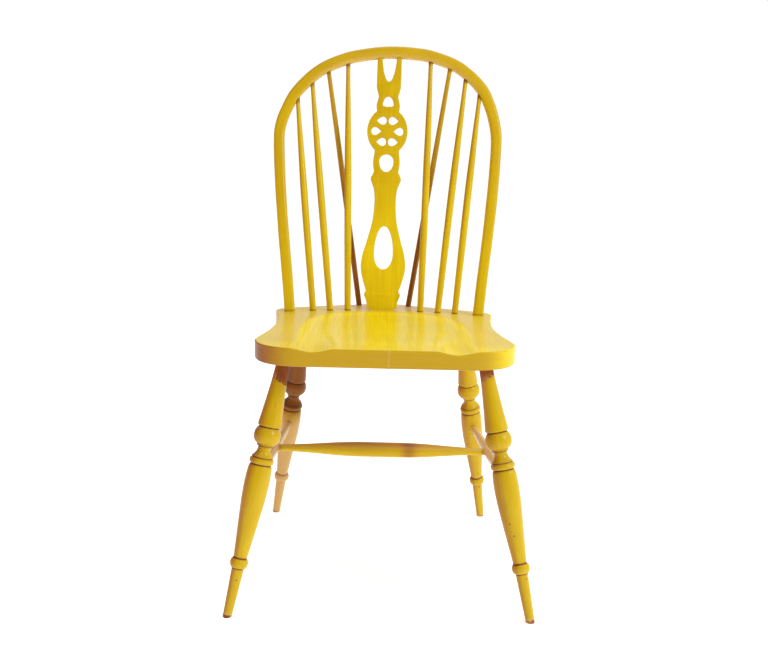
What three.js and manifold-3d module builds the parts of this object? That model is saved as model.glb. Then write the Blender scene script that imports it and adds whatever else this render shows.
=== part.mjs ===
// Hoop-back dining chair with a pierced wheel splat, braced from a tail on the seat.
// Millimetres. +X is to the right of someone who faces the chair, -Y is its front and +Z is up.
import * as THREE from 'three';
import { mergeVertices } from 'three/addons/utils/BufferGeometryUtils.js';
import Module from 'manifold-3d';

const wasm = await Module();
wasm.setup();

// Fits
const fitGap = 0.3; // clearance between any two pieces that touch
const overcut = 12; // how far a cutter runs past the surface it enters

// Seat
const seatHeight = 440; // floor to the flat rim of the seat
const seatThickness = 29.5;
const seatHalfWidth = 209.5; // widest point, just behind the front corners
const seatWaistInset = 19.5; // the sides draw in by this much behind the widest point
const seatRearInset = 7;
const seatFront = -180;
const seatWidest = -109;
const seatWaist = 45;
const seatRearCorner = 168;
const seatTail = 278; // rear end of the tail that carries the braces
const seatEdgeRound = 2;
const boardJoint = 5; // the seat is two boards glued edge to edge at this X
const saddleHalfWidth = seatHalfWidth - 63.5;
const saddleRear = 181;
const saddleDepth = 9;
const thighDip = 5.5; // how far the front edge dips under each thigh
const thighDipCentre = saddleHalfWidth - 33;
const thighDipHalfWidth = 38;
const seatDowelDiameter = 9;
const seatDowelLength = 60;
const seatDowelLift = seatThickness * 0.375; // dowel centre above the underside of the seat

// Hoop
const hoopTilt = THREE.MathUtils.degToRad(11.5);
const hoopFootY = 162; // where the hoop's plane meets the seat top
const hoopRise = 490; // seat to the middle of the bar at the crown, along the plane
const hoopHalfWidth = seatHalfWidth - 6; // middle of the bar at its widest
const hoopBar = 20;
const hoopBarCrown = 22;
const hoopBarDepth = 18;
const hoopBarRound = 5;
const hoopSkew = 0.045; // the crown was bent a little out of level, higher on the right by this slope
const hoopTenonDiameter = 15;
const hoopWedgeLength = 17;
const hoopWedgeWidth = 13.6;
const hoopWedgeThick = 2.4;
const hoopWedgeThin = 0.7;

// Spindles: feet on the seat, tops on the inner edge of the hoop
const spindleFoot = 12;
const spindleSwell = 13.3;
const spindleTop = 8;
const spindleSeatTenon = seatThickness * 0.37; // short of the rear leg's tenon, which comes up under it
const spindleHoopTenon = 9;
const drawnHalfWidth = 203.5; // the hoop's half width that the places across the back are given for
const spread = hoopHalfWidth / drawnHalfWidth;
const spindles = [
  { name: 'outer', footX: 133.5 * spread, footY: 175, topX: 170.5 * spread },
  { name: 'middle', footX: 101.6 * spread, footY: 181, topX: 143.8 * spread },
  { name: 'inner', footX: 68.9 * spread, footY: 188, topX: 77.5 * spread },
];
const braceFoot = { x: 48 * spread, y: seatTail - 28 };
const braceTopX = 113.7 * spread;
const braceFootDiameter = 10.5;
const braceTopDiameter = 8;

// Splat
const splatFootY = 199;
const splatThickness = 9;
const splatLean = { footX: -4.5, topX: 0.3 }; // it stands a little out of plumb
const splatTenonHalfWidth = 23;
const splatTenonLength = seatThickness * 0.5;
const prongOuter = 22.8;
const prongInner = 13.2;
const prongTenonLength = 7;

// Legs
const frontLegTop = { x: seatHalfWidth - 48.5, y: seatFront + 64 }; // leg axis at the underside of the seat
const rearLegTop = { x: seatHalfWidth - 59.5, y: seatRearCorner + 4 };
const frontFoot = { x: frontLegTop.x + 83, y: frontLegTop.y - 72 };
const rearFoot = { x: rearLegTop.x + 61, y: rearLegTop.y + 109 };
const legTopDiameter = 22.6;
const legTenonLength = seatThickness * 0.46;

// Stretchers: heights are distances up the leg axis from the foot
const sideStretcherFront = 234;
const sideStretcherRear = 215;
const sideStretcherEnd = 13;
const sideStretcherSwell = 18;
const sideTenonStop = 4; // the tenon ends this far short of the leg's axis
const crossPosition = 0.47; // share of the side stretcher's length, from the front
const crossEnd = 12;
const crossSwell = 26.6;
const crossTenonStop = 2.5;

const paint = (color, roughness) => new THREE.MeshStandardMaterial({ color, roughness, metalness: 0 });
const finishes = {
  seat: () => paint('#dcbf2e', 0.35),
  back: () => paint('#cda81f', 0.4),
  base: () => paint('#d6b01e', 0.35),
  bare: () => paint('#a9744a', 0.7),
};

// ---------- helpers ----------

// The closed body of a mesh, carried into the frame of another mesh.
function bodyOf(mesh, frame = mesh) {
  mesh.updateMatrixWorld(true);
  frame.updateMatrixWorld(true);
  const geometry = mesh.geometry.clone();
  geometry.applyMatrix4(mesh.matrixWorld).applyMatrix4(frame.matrixWorld.clone().invert());
  geometry.deleteAttribute('normal');
  geometry.deleteAttribute('uv');
  const merged = mergeVertices(geometry, 1e-4);
  const vertProperties = new Float32Array(merged.attributes.position.array);
  const triVerts = new Uint32Array(merged.index.array);
  return new wasm.Manifold(new wasm.Mesh({ numProp: 3, vertProperties, triVerts }));
}

function geometryOf(body) {
  const mesh = body.getMesh();
  const geometry = new THREE.BufferGeometry();
  geometry.setAttribute('position', new THREE.BufferAttribute(mesh.vertProperties, 3));
  geometry.setIndex(new THREE.BufferAttribute(mesh.triVerts, 1));
  geometry.computeVertexNormals();
  return geometry;
}

function cut(mesh, cutters) {
  const left = cutters.reduce((body, tool) => body.subtract(bodyOf(tool, mesh)), bodyOf(mesh));
  mesh.geometry = geometryOf(left);
}

function join(mesh, additions) {
  mesh.geometry = geometryOf(additions.reduce((body, part) => body.add(bodyOf(part, mesh)), bodyOf(mesh)));
}

function keepInside(mesh, limit) {
  mesh.geometry = geometryOf(bodyOf(mesh).intersect(bodyOf(limit, mesh)));
}

function named(name, geometry, finish) {
  const mesh = new THREE.Mesh(geometry, finish());
  mesh.name = name;
  return mesh;
}

const cutter = (geometry) => new THREE.Mesh(geometry);

// Stands a mesh that runs along its own +Y at a point, pointing towards another.
function aim(mesh, from, towards) {
  mesh.position.copy(from);
  const direction = towards.clone().sub(from).normalize();
  mesh.quaternion.setFromUnitVectors(new THREE.Vector3(0, 1, 0), direction);
  return mesh;
}

const along = (from, to, distance) =>
  from.clone().add(to.clone().sub(from).normalize().multiplyScalar(distance));

// A turned piece: stations are [distance along the axis, diameter].
function turned(stations, segments) {
  const first = stations[0][0];
  const last = stations[stations.length - 1][0];
  const profile = stations.map(([distance, diameter]) => new THREE.Vector2(diameter / 2, distance));
  profile.unshift(new THREE.Vector2(0, first));
  profile.push(new THREE.Vector2(0, last));
  return new THREE.LatheGeometry(profile, segments);
}

// A round hole along the line from one point to another, with clearance all round.
function bore(from, to, diameter, segments = 16) {
  const length = from.distanceTo(to);
  const stations = [[-overcut, diameter + 2 * fitGap], [length + fitGap, diameter + 2 * fitGap]];
  return aim(cutter(turned(stations, segments)), from, to);
}

function block(minimum, maximum) {
  const size = maximum.clone().sub(minimum);
  const mesh = cutter(new THREE.BoxGeometry(size.x, size.y, size.z));
  mesh.position.copy(minimum).addScaledVector(size, 0.5);
  return mesh;
}

const smooth = (edge0, edge1, value) => THREE.MathUtils.smoothstep((value - edge0) / (edge1 - edge0), 0, 1);

// ---------- hoop plane ----------

const seatUnderside = seatHeight - seatThickness;
const farAway = 1000;

// A point of the hoop's plane: across, up along the plane, and out of it towards the front.
function hoopPoint(across, up, out = 0) {
  const y = hoopFootY + up * Math.sin(hoopTilt) - out * Math.cos(hoopTilt);
  const z = seatHeight + up * Math.cos(hoopTilt) + out * Math.sin(hoopTilt);
  return new THREE.Vector3(across, y, z);
}

// Middle line of the bar, from a drawing of one half that is scaled to the hoop's own width and rise.
const hoopDrawing = { halfWidth: 202.3, rise: 490 };
const hoopLineRight = [
  [172, -34], [180.5, 58], [190, 147], [198, 237], [202.3, 318], [199.8, 352], [189, 387],
  [170.5, 421], [130.5, 458], [83, 479], [42, 487],
].map(([x, y]) => new THREE.Vector2(
  (x * hoopHalfWidth) / hoopDrawing.halfWidth, (y * hoopRise) / hoopDrawing.rise));
const hoopLine = new THREE.SplineCurve([
  ...hoopLineRight,
  new THREE.Vector2(0, hoopRise),
  ...hoopLineRight.map((point) => new THREE.Vector2(-point.x, point.y)).reverse(),
].map((point) => point.setY(point.y + hoopSkew * point.x * smooth(0.65, 0.85, point.y / hoopRise))));
const hoopSteps = 48;

// The bar's edge, half its width to one side of the middle line.
function hoopEdge(side) {
  return Array.from({ length: hoopSteps + 1 }, (_, step) => {
    const at = step / hoopSteps;
    const centre = hoopLine.getPoint(at);
    const tangent = hoopLine.getTangent(at);
    const crown = smooth(0.6, 1, centre.y / hoopRise);
    const half = THREE.MathUtils.lerp(hoopBar, hoopBarCrown, crown) / 2;
    return new THREE.Vector2(centre.x + side * half * tangent.y, centre.y - side * half * tangent.x);
  });
}

const hoopOuterEdge = hoopEdge(1);
const hoopInnerEdge = hoopEdge(-1);

// Height of the hoop's inner edge above the seat, along the plane, at a distance from the middle.
function innerEdgeHeight(across) {
  const upper = hoopInnerEdge.filter((point) => point.y > hoopRise * 0.65);
  const next = upper.findIndex((point) => point.x <= across);
  const [a, b] = [upper[next - 1], upper[next]];
  return THREE.MathUtils.mapLinear(across, a.x, b.x, a.y, b.y);
}

// ---------- seat ----------

// Right half from the middle of the front edge to the tail. The small offsets from the named stations are
// the pull points of its curves.
function seatOutline() {
  const half = new THREE.Path();
  const waist = seatHalfWidth - seatWaistInset;
  const rear = seatHalfWidth - seatRearInset;
  half.moveTo(0, seatFront);
  half.lineTo(seatHalfWidth * 0.6, seatFront);
  half.bezierCurveTo(
    seatHalfWidth - 37, seatFront, seatHalfWidth - 4, seatFront + 22, seatHalfWidth, seatWidest);
  half.bezierCurveTo(seatHalfWidth, seatWidest + 18, waist - 1, seatWaist - 65, waist, seatWaist);
  half.bezierCurveTo(waist, seatWaist + 45, rear - 6, seatWaist + 90, rear, seatRearCorner);
  half.quadraticCurveTo(rear + 2, seatRearCorner + 18, rear - 12, seatRearCorner + 31);
  half.bezierCurveTo(rear - 80, seatTail - 42, braceFoot.x + 20, seatTail - 26, braceFoot.x, seatTail - 17);
  half.quadraticCurveTo(braceFoot.x * 0.5, seatTail, 0, seatTail);
  const right = half.getPoints(7);
  const left = right.slice(1, -1).reverse().map((point) => new THREE.Vector2(-point.x, point.y));
  return new THREE.Shape([...right, ...left]);
}

// Depth of the saddle below the rim. Behind, it is a dish with a rounded square outline; towards the
// front it turns into two dips with a pommel between them.
function saddleDrop(x, y) {
  const middle = -15;
  const reach = y > middle ? saddleRear - middle : 400;
  const square = 2.6;
  const acrossShare = Math.abs(x / saddleHalfWidth) ** square;
  const alongShare = Math.abs((y - middle) / reach) ** square;
  const dish = saddleDepth * (1 - (acrossShare + alongShare) ** (3 / square));
  const offset = THREE.MathUtils.clamp((Math.abs(x) - thighDipCentre) / thighDipHalfWidth, -1, 1);
  const thigh = thighDip * Math.cos((offset * Math.PI) / 2) ** 2;
  const front = smooth(20, seatFront, y);
  return Math.max(THREE.MathUtils.lerp(dish, thigh, front), -1);
}

// A block above the seat whose underside is the saddle surface, lifted just clear of the rim.
function saddleCutter() {
  const width = 2 * saddleHalfWidth + 40;
  const depth = saddleRear - seatFront + 50;
  const top = 30;
  const clearOfRim = 0.25;
  const geometry = new THREE.BoxGeometry(width, depth, top, 20, 18, 1);
  const position = geometry.attributes.position;
  const centreY = saddleRear + 20 - depth / 2;
  for (let index = 0; index < position.count; index += 1) {
    const drop = saddleDrop(position.getX(index), position.getY(index) + centreY);
    const underside = position.getZ(index) < 0;
    position.setZ(index, underside ? clearOfRim - drop : top);
  }
  const mesh = cutter(geometry);
  mesh.position.set(0, centreY, seatHeight);
  return mesh;
}

function makeSeat(holes) {
  const plate = () => {
    const geometry = new THREE.ExtrudeGeometry(seatOutline(), {
      depth: seatThickness - 2 * seatEdgeRound,
      bevelThickness: seatEdgeRound,
      bevelSize: seatEdgeRound,
      bevelOffset: -seatEdgeRound,
      bevelSegments: 1,
    });
    return geometry.translate(0, 0, seatUnderside + seatEdgeRound);
  };
  const group = new THREE.Group();
  const saddle = saddleCutter();
  const dowelZ = seatUnderside + seatDowelLift;
  const dowelEnd = seatDowelLength / 2;
  const dowelLine = (y) => [
    new THREE.Vector3(boardJoint - dowelEnd, y, dowelZ),
    new THREE.Vector3(boardJoint + dowelEnd, y, dowelZ),
  ];
  const dowels = [
    ['seat_dowel_front', -110],
    ['seat_dowel_middle', 20],
    ['seat_dowel_rear', 150],
  ];
  const dowelHoles = dowels.map(([, y]) => {
    const [start, end] = dowelLine(y);
    const radius = seatDowelDiameter / 2 + fitGap;
    const length = seatDowelLength + 2 * fitGap;
    const hole = cutter(turned([[0, 2 * radius], [length, 2 * radius]], 12));
    return aim(hole, start.clone().add(new THREE.Vector3(-fitGap, 0, 0)), end);
  });
  const boards = [
    ['seat_board_left', -farAway, boardJoint - fitGap / 2],
    ['seat_board_right', boardJoint + fitGap / 2, farAway],
  ];
  for (const [name, from, to] of boards) {
    const board = named(name, plate(), finishes.seat);
    keepInside(board, block(new THREE.Vector3(from, -farAway, 0), new THREE.Vector3(to, farAway, farAway)));
    cut(board, [saddle, ...dowelHoles, ...holes]);
    group.add(board);
  }
  for (const [name, y] of dowels) {
    const [start, end] = dowelLine(y);
    const chamfer = 1;
    const stations = [
      [0, seatDowelDiameter - 2 * chamfer], [chamfer, seatDowelDiameter],
      [seatDowelLength - chamfer, seatDowelDiameter], [seatDowelLength, seatDowelDiameter - 2 * chamfer],
    ];
    group.add(aim(named(name, turned(stations, 12), finishes.bare), start, end));
  }
  return group;
}

// ---------- back ----------

// A stick from the seat to the hoop: where it stands, where it enters the hoop, and its holes.
function stickLine(side, foot, topX) {
  const base = new THREE.Vector3(side * foot.x, foot.y, seatHeight);
  const top = hoopPoint(side * topX, innerEdgeHeight(side * topX));
  const length = base.distanceTo(top);
  return {
    start: along(base, top, -spindleSeatTenon),
    end: along(base, top, length + spindleHoopTenon),
    base,
    top,
    length,
  };
}

function stickStations(line, footDiameter, swellDiameter, topDiameter) {
  const at = (share) => spindleSeatTenon + share * line.length;
  return [
    [0, footDiameter], [at(0.02), footDiameter], [at(0.18), (footDiameter + swellDiameter) / 2],
    [at(0.34), swellDiameter], [at(0.55), swellDiameter], [at(0.8), (swellDiameter + topDiameter) / 2],
    [at(0.98), topDiameter], [at(1) + spindleHoopTenon, topDiameter],
  ];
}

const sides = [['left', -1], ['right', 1]];
const sticks = sides.flatMap(([sideName, side]) => [
  ...spindles.map((spindle) => ({
    name: `spindle_${sideName}_${spindle.name}`,
    line: stickLine(side, { x: spindle.footX, y: spindle.footY }, spindle.topX),
    diameters: [spindleFoot, spindleSwell, spindleTop],
  })),
  {
    name: `brace_spindle_${sideName}`,
    line: stickLine(side, braceFoot, braceTopX),
    diameters: [braceFootDiameter, braceFootDiameter, braceTopDiameter],
  },
]);

const seatStickHoles = sticks.map(({ line, diameters }) => bore(line.base, line.start, diameters[0]));
const hoopStickHoles = sticks.map(({ line, diameters }) => bore(line.top, line.end, diameters[2]));

// The splat's own plane runs from its foot to the hoop's inner edge.
const splatTop = hoopPoint(0, innerEdgeHeight(splatLean.topX));
const splatRise = Math.hypot(splatTop.y - splatFootY, splatTop.z - seatHeight);
const splatTilt = Math.atan2(splatTop.y - splatFootY, splatTop.z - seatHeight);
const splatTurn = -Math.atan2(splatLean.topX - splatLean.footX, splatRise);
const splatFootHalfWidth = 29;
const splatShoulder = (splatThickness / 2) * Math.tan(splatTilt)
  + splatFootHalfWidth * Math.abs(Math.tan(splatTurn)) + fitGap;

// Right half of the outline, foot to prong, from a drawing that is scaled to the splat's own rise.
const splatDrawingRise = 470;
function splatOutline() {
  const half = new THREE.Path();
  const up = (height) => (height * splatRise) / splatDrawingRise;
  const through = (points) => half.splineThru(points.map(([x, y]) => new THREE.Vector2(x, up(y))));
  half.moveTo(0, -splatTenonLength);
  half.lineTo(splatTenonHalfWidth, -splatTenonLength);
  half.lineTo(splatTenonHalfWidth, splatShoulder);
  half.lineTo(splatFootHalfWidth, splatShoulder);
  half.lineTo(splatFootHalfWidth, up(11));
  half.quadraticCurveTo(30.5, up(20), 34, up(26));
  half.quadraticCurveTo(35.3, up(28), 33.5, up(31));
  half.lineTo(31, up(36));
  through([[37.8, 56], [42.2, 80], [39.7, 104], [31.6, 132], [22.5, 170], [20.1, 205], [22.2, 228]]);
  half.lineTo(28, up(243));
  half.quadraticCurveTo(29.4, up(246), 27.5, up(250));
  half.lineTo(23, up(259));
  through([[25.1, 277], [23.2, 294]]);
  half.absellipse(0, up(335), 38, up(43.5), -0.915, 1, false);
  through([[22, 382], [20.1, 391], [18.2, 400]]);
  through([[20.6, 408], [prongOuter, 417]]);
  half.lineTo(prongOuter, splatRise + prongTenonLength);
  half.lineTo(prongInner, splatRise + prongTenonLength);
  half.lineTo(prongInner, up(467));
  through([[11.5, 453], [9, 441], [4.6, 430], [0, 426.5]]);
  const right = half.getPoints(3);
  const left = right.slice(1, -1).reverse().map((point) => new THREE.Vector2(-point.x, point.y));
  const outline = new THREE.Shape([...right, ...left]);
  outline.holes = splatHoles(up);
  return outline;
}

// An egg-shaped opening: widest at one height, with its ends above and below.
function egg(bottom, widest, top, halfWidth) {
  const hole = new THREE.Path();
  const pull = 0.56;
  const lower = (widest - bottom) * pull;
  const upper = (top - widest) * pull;
  const side = halfWidth * pull;
  hole.moveTo(0, bottom);
  hole.bezierCurveTo(side, bottom, halfWidth, widest - lower, halfWidth, widest);
  hole.bezierCurveTo(halfWidth, widest + upper, side, top, 0, top);
  hole.bezierCurveTo(-side, top, -halfWidth, widest + upper, -halfWidth, widest);
  hole.bezierCurveTo(-halfWidth, widest - lower, -side, bottom, 0, bottom);
  return new THREE.Path(hole.getPoints(4));
}

// A teardrop lying across, with its point to the right (1) or the left (-1).
function petal(x, y, pointing) {
  const reach = 9.3 * pointing;
  const widest = -2.5 * pointing;
  const half = 7.7;
  const hole = new THREE.Path();
  hole.moveTo(x + reach, y);
  hole.bezierCurveTo(x + reach * 0.6, y + half * 0.5, x - widest * 0.6, y + half, x + widest, y + half);
  hole.bezierCurveTo(x - reach * 0.73, y + half, x - reach, y + half * 0.6, x - reach, y);
  hole.bezierCurveTo(x - reach, y - half * 0.6, x - reach * 0.73, y - half, x + widest, y - half);
  hole.bezierCurveTo(x - widest * 0.6, y - half, x + reach * 0.6, y - half * 0.5, x + reach, y);
  return new THREE.Path(hole.getPoints(3));
}

function splatHoles(up) {
  const arch = new THREE.Path();
  arch.moveTo(0, up(380.5));
  arch.quadraticCurveTo(10.6, up(380), 10.4, up(385));
  arch.quadraticCurveTo(8, up(399.5), 0, up(399.5));
  arch.quadraticCurveTo(-8, up(399.5), -10.4, up(385));
  arch.quadraticCurveTo(-10.6, up(380), 0, up(380.5));
  const hub = 335;
  const petals = [-1, 1].flatMap((side) => [
    petal(side * 20.9, up(hub), -side),
    petal(side * 11.3, up(hub + 19.7), side),
    petal(side * 11.3, up(hub - 19.7), side),
  ]);
  return [
    new THREE.Path(arch.getPoints(4)),
    egg(up(259.5), up(279), up(292.5), 13.4),
    egg(up(77), up(106), up(158), 17.8),
    ...petals,
  ];
}

// Sets a plate that was drawn flat into the back, leaning back by its tilt.
function stand(mesh, footY, tilt) {
  mesh.position.set(0, footY, seatHeight);
  mesh.rotation.x = Math.PI / 2 - tilt;
  return mesh;
}

// Sets a piece that was drawn on the splat's own plane into the back.
function standOnSplat(mesh) {
  stand(mesh, splatFootY, splatTilt);
  mesh.position.x = splatLean.footX;
  mesh.rotation.z = splatTurn;
  return mesh;
}

function splatBlock(halfWidth, centreX, from, to) {
  const size = [2 * (halfWidth + fitGap), to - from, splatThickness + 2 * fitGap];
  const geometry = new THREE.BoxGeometry(...size).translate(centreX, (from + to) / 2, 0);
  return standOnSplat(cutter(geometry));
}

const prongHalf = (prongOuter - prongInner) / 2;
const prongCentre = (prongOuter + prongInner) / 2;
const splatMortise = splatBlock(splatTenonHalfWidth, 0, -splatTenonLength - fitGap, overcut);
const prongMortises = [-1, 1].map((side) =>
  splatBlock(prongHalf, side * prongCentre, splatRise - overcut, splatRise + prongTenonLength + fitGap));

// The hoop's tenons carry on in line with its legs, down through the seat.
function tenonLine(side) {
  const low = hoopLineRight[0];
  const high = hoopLineRight[1];
  const slope = (high.x - low.x) / (high.y - low.y);
  const through = (seatThickness + 8) / Math.cos(hoopTilt);
  const acrossAt = (up) => low.x + slope * (up - low.y);
  return {
    top: hoopPoint(side * acrossAt(overcut), overcut),
    bottom: hoopPoint(side * acrossAt(-through), -through),
  };
}

// A wedge's shape, or with a gap the saw kerf that it fills: thick at the underside of the seat.
function wedgeBody(side, gap, width) {
  const { top, bottom } = tenonLine(side);
  const direction = top.clone().sub(bottom).normalize();
  const start = bottom.clone().addScaledVector(direction, (seatUnderside - bottom.z) / direction.z);
  const below = 3;
  const thick = hoopWedgeThick / 2 + gap;
  const thin = hoopWedgeThin / 2 + gap;
  const end = hoopWedgeLength + gap;
  const outline = new THREE.Shape([
    new THREE.Vector2(-thick, -below), new THREE.Vector2(thick, -below),
    new THREE.Vector2(thick, 0), new THREE.Vector2(thin, end),
    new THREE.Vector2(-thin, end), new THREE.Vector2(-thick, 0),
  ]);
  const geometry = new THREE.ExtrudeGeometry(outline, { depth: width, bevelEnabled: false });
  geometry.translate(0, 0, -width / 2).rotateY(Math.PI / 2);
  return aim(cutter(geometry), start, top);
}

function makeBack() {
  const group = new THREE.Group();
  const underSeat = block(
    new THREE.Vector3(-farAway, -farAway, -farAway), new THREE.Vector3(farAway, farAway, seatUnderside));
  const seatSpace = block(
    new THREE.Vector3(-farAway, -farAway, 0), new THREE.Vector3(farAway, farAway, seatHeight + fitGap));
  const outline = new THREE.Shape([...hoopOuterEdge, ...hoopInnerEdge.slice().reverse()]);
  const bar = new THREE.ExtrudeGeometry(outline, {
    depth: hoopBarDepth - 2 * hoopBarRound,
    bevelThickness: hoopBarRound,
    bevelSize: hoopBarRound,
    bevelOffset: -hoopBarRound,
    bevelSegments: 2,
  });
  bar.translate(0, 0, -(hoopBarDepth - 2 * hoopBarRound) / 2);
  const hoop = stand(named('back_hoop', bar, finishes.back), hoopFootY, hoopTilt);
  cut(hoop, [seatSpace]);
  const tenons = sides.map(([, side]) => {
    const { top, bottom } = tenonLine(side);
    const length = top.distanceTo(bottom);
    return aim(cutter(turned([[0, hoopTenonDiameter], [length, hoopTenonDiameter]], 16)), bottom, top);
  });
  join(hoop, tenons);
  const kerfs = sides.map(([, side]) => wedgeBody(side, fitGap, hoopTenonDiameter + overcut));
  cut(hoop, [underSeat, ...kerfs, ...hoopStickHoles, ...prongMortises]);
  group.add(hoop);

  for (const [sideName, side] of sides) {
    const shape = wedgeBody(side, 0, hoopWedgeWidth);
    const wedge = named(`hoop_wedge_${sideName}`, shape.geometry, finishes.bare);
    wedge.position.copy(shape.position);
    wedge.quaternion.copy(shape.quaternion);
    cut(wedge, [underSeat]);
    group.add(wedge);
  }

  const board = new THREE.ExtrudeGeometry(splatOutline(), { depth: splatThickness, bevelEnabled: false });
  board.translate(0, 0, -splatThickness / 2);
  group.add(standOnSplat(named('back_splat', board, finishes.back)));

  for (const { name, line, diameters } of sticks) {
    const stick = named(name, turned(stickStations(line, ...diameters), 12), finishes.back);
    group.add(aim(stick, line.start, line.end));
  }
  return group;
}

// ---------- legs and stretchers ----------

// Turning of a leg: [distance up the axis from the foot, diameter].
const legTurning = [
  [0, 14.5], [27, 16.4], [52, 18], [80, 20.2], // plain foot
  [83, 25], [86, 28.2], [89, 29], [92, 28.2], [95, 25], [97, 22], // ankle ring
  [124, 26.6], [149, 31.2], [174, 35.6], [199, 39.4], [222, 40.6], [238, 39.6], [248, 37.6], // vase
  [250, 33.6], [252.5, 33.6], // groove
  [254, 37.6], [257, 39.2], [260, 38], [262.5, 34], // ring
  [266, 31.5], [271, 24.5], [277, 21], [280, 22], // cove and neck
  [282.5, 27.6], [284.5, 27.6], // fillet
  [286, 34.5], [291, 41], [298, 43.2], [305, 41], [311, 34], // ball
  [312.5, 33.6], [314, 37], [317, 37.8], // groove and the foot of the cone
];
const legCone = [[340, 33], [365, 28.4], [390, 24.6]];

function legLine(side, foot, top) {
  const base = new THREE.Vector3(side * foot.x, foot.y, 0);
  const shoulder = new THREE.Vector3(side * top.x, top.y, seatUnderside);
  const length = base.distanceTo(shoulder);
  return { base, shoulder, length, end: along(base, shoulder, length + legTenonLength) };
}

function legStations(line) {
  const drawn = 424; // length that the cone's stations were drawn for
  const coneStart = legTurning[legTurning.length - 1][0];
  const stretch = (line.length - coneStart) / (drawn - coneStart);
  const cone = legCone.map(([distance, diameter]) => [
    coneStart + (distance - coneStart) * stretch, diameter,
  ]);
  return [
    [-overcut, legTurning[0][1]], ...legTurning, ...cone,
    [line.length - overcut, legTopDiameter], [line.length + legTenonLength, legTopDiameter],
  ];
}

const legs = sides.flatMap(([sideName, side]) => [
  { name: `leg_front_${sideName}`, side, line: legLine(side, frontFoot, frontLegTop) },
  { name: `leg_rear_${sideName}`, side, line: legLine(side, rearFoot, rearLegTop) },
]);
const legHoles = legs.map(({ line }) => bore(line.shoulder, line.end, legTopDiameter, 20));
const tenonHoles = sides.map(([, side]) => {
  const { top, bottom } = tenonLine(side);
  return bore(top, bottom, hoopTenonDiameter, 20);
});

function sideStretcherLine(side) {
  const front = legs.find((leg) => leg.side === side && leg.name.includes('front')).line;
  const rear = legs.find((leg) => leg.side === side && leg.name.includes('rear')).line;
  const frontAxis = along(front.base, front.shoulder, sideStretcherFront);
  const rearAxis = along(rear.base, rear.shoulder, sideStretcherRear);
  return {
    frontAxis,
    rearAxis,
    start: along(frontAxis, rearAxis, sideTenonStop),
    end: along(rearAxis, frontAxis, sideTenonStop),
    crossing: frontAxis.clone().lerp(rearAxis, crossPosition),
  };
}

function crossLine() {
  const [left, right] = [-1, 1].map((side) => sideStretcherLine(side).crossing);
  return { start: along(left, right, crossTenonStop), end: along(right, left, crossTenonStop), left, right };
}

// A stretcher that swells towards the middle: [share of its length, share of the swell].
function swelling(length, ends, middle, shares) {
  const rising = shares.map(([place, swell]) => [place * length, THREE.MathUtils.lerp(ends, middle, swell)]);
  const falling = rising.slice().reverse().map(([distance, diameter]) => [length - distance, diameter]);
  return [[0, ends], ...rising, ...falling, [length, ends]];
}

function makeBase() {
  const group = new THREE.Group();
  const ground = block(
    new THREE.Vector3(-farAway, -farAway, -farAway), new THREE.Vector3(farAway, farAway, 0));
  const sideLines = new Map(sides.map(([, side]) => [side, sideStretcherLine(side)]));
  for (const { name, side, line } of legs) {
    const leg = aim(named(name, turned(legStations(line), 14), finishes.base), line.base, line.end);
    const stretcher = sideLines.get(side);
    const isFront = name.includes('front');
    const mouth = isFront ? along(stretcher.frontAxis, stretcher.rearAxis, 30)
      : along(stretcher.rearAxis, stretcher.frontAxis, 30);
    cut(leg, [ground, bore(mouth, isFront ? stretcher.start : stretcher.end, sideStretcherEnd)]);
    group.add(leg);
  }

  const cross = crossLine();
  for (const [sideName, side] of sides) {
    const line = sideLines.get(side);
    const length = line.start.distanceTo(line.end);
    const shares = [[0.08, 0.05], [0.2, 0.45], [0.35, 0.9], [0.45, 1]];
    const stations = swelling(length, sideStretcherEnd, sideStretcherSwell, shares);
    const stretcher = named(`side_stretcher_${sideName}`, turned(stations, 14), finishes.base);
    aim(stretcher, line.start, line.end);
    const inner = side < 0 ? cross.start : cross.end;
    const outer = side < 0 ? cross.right : cross.left;
    cut(stretcher, [bore(along(inner, outer, 20), inner, crossEnd, 14)]);
    group.add(stretcher);
  }

  const length = cross.start.distanceTo(cross.end);
  const shares = [[0.04, 0], [0.085, 0.08], [0.17, 0.33], [0.24, 0.6], [0.3, 0.82], [0.38, 0.97], [0.46, 1]];
  const crossStations = swelling(length, crossEnd, crossSwell, shares);
  const crossPiece = named('cross_stretcher', turned(crossStations, 16), finishes.base);
  group.add(aim(crossPiece, cross.start, cross.end));
  return group;
}

// ---------- assembly ----------

const chair = new THREE.Group();
chair.add(makeSeat([...seatStickHoles, ...legHoles, ...tenonHoles, splatMortise]));
chair.add(makeBack());
chair.add(makeBase());

// The origin is the middle of the footprint's box, on the floor.
chair.updateMatrixWorld(true);
const footprint = new THREE.Box3().setFromObject(chair, true);
chair.position.set(0, -(footprint.min.y + footprint.max.y) / 2, 0);

export default chair;
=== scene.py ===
"""A painted hoop back dining chair: fine surfaces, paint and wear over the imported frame.

Lengths are in metres. +X is to the right of someone who faces the chair, -Y is its front and +Z is up.
Shapes are worked out in the chair's drawn frame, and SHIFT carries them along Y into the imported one.
"""
from math import cos, pi, radians, sin

import bmesh
import bpy
import numpy as np
from mathutils import Matrix, Vector


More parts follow.
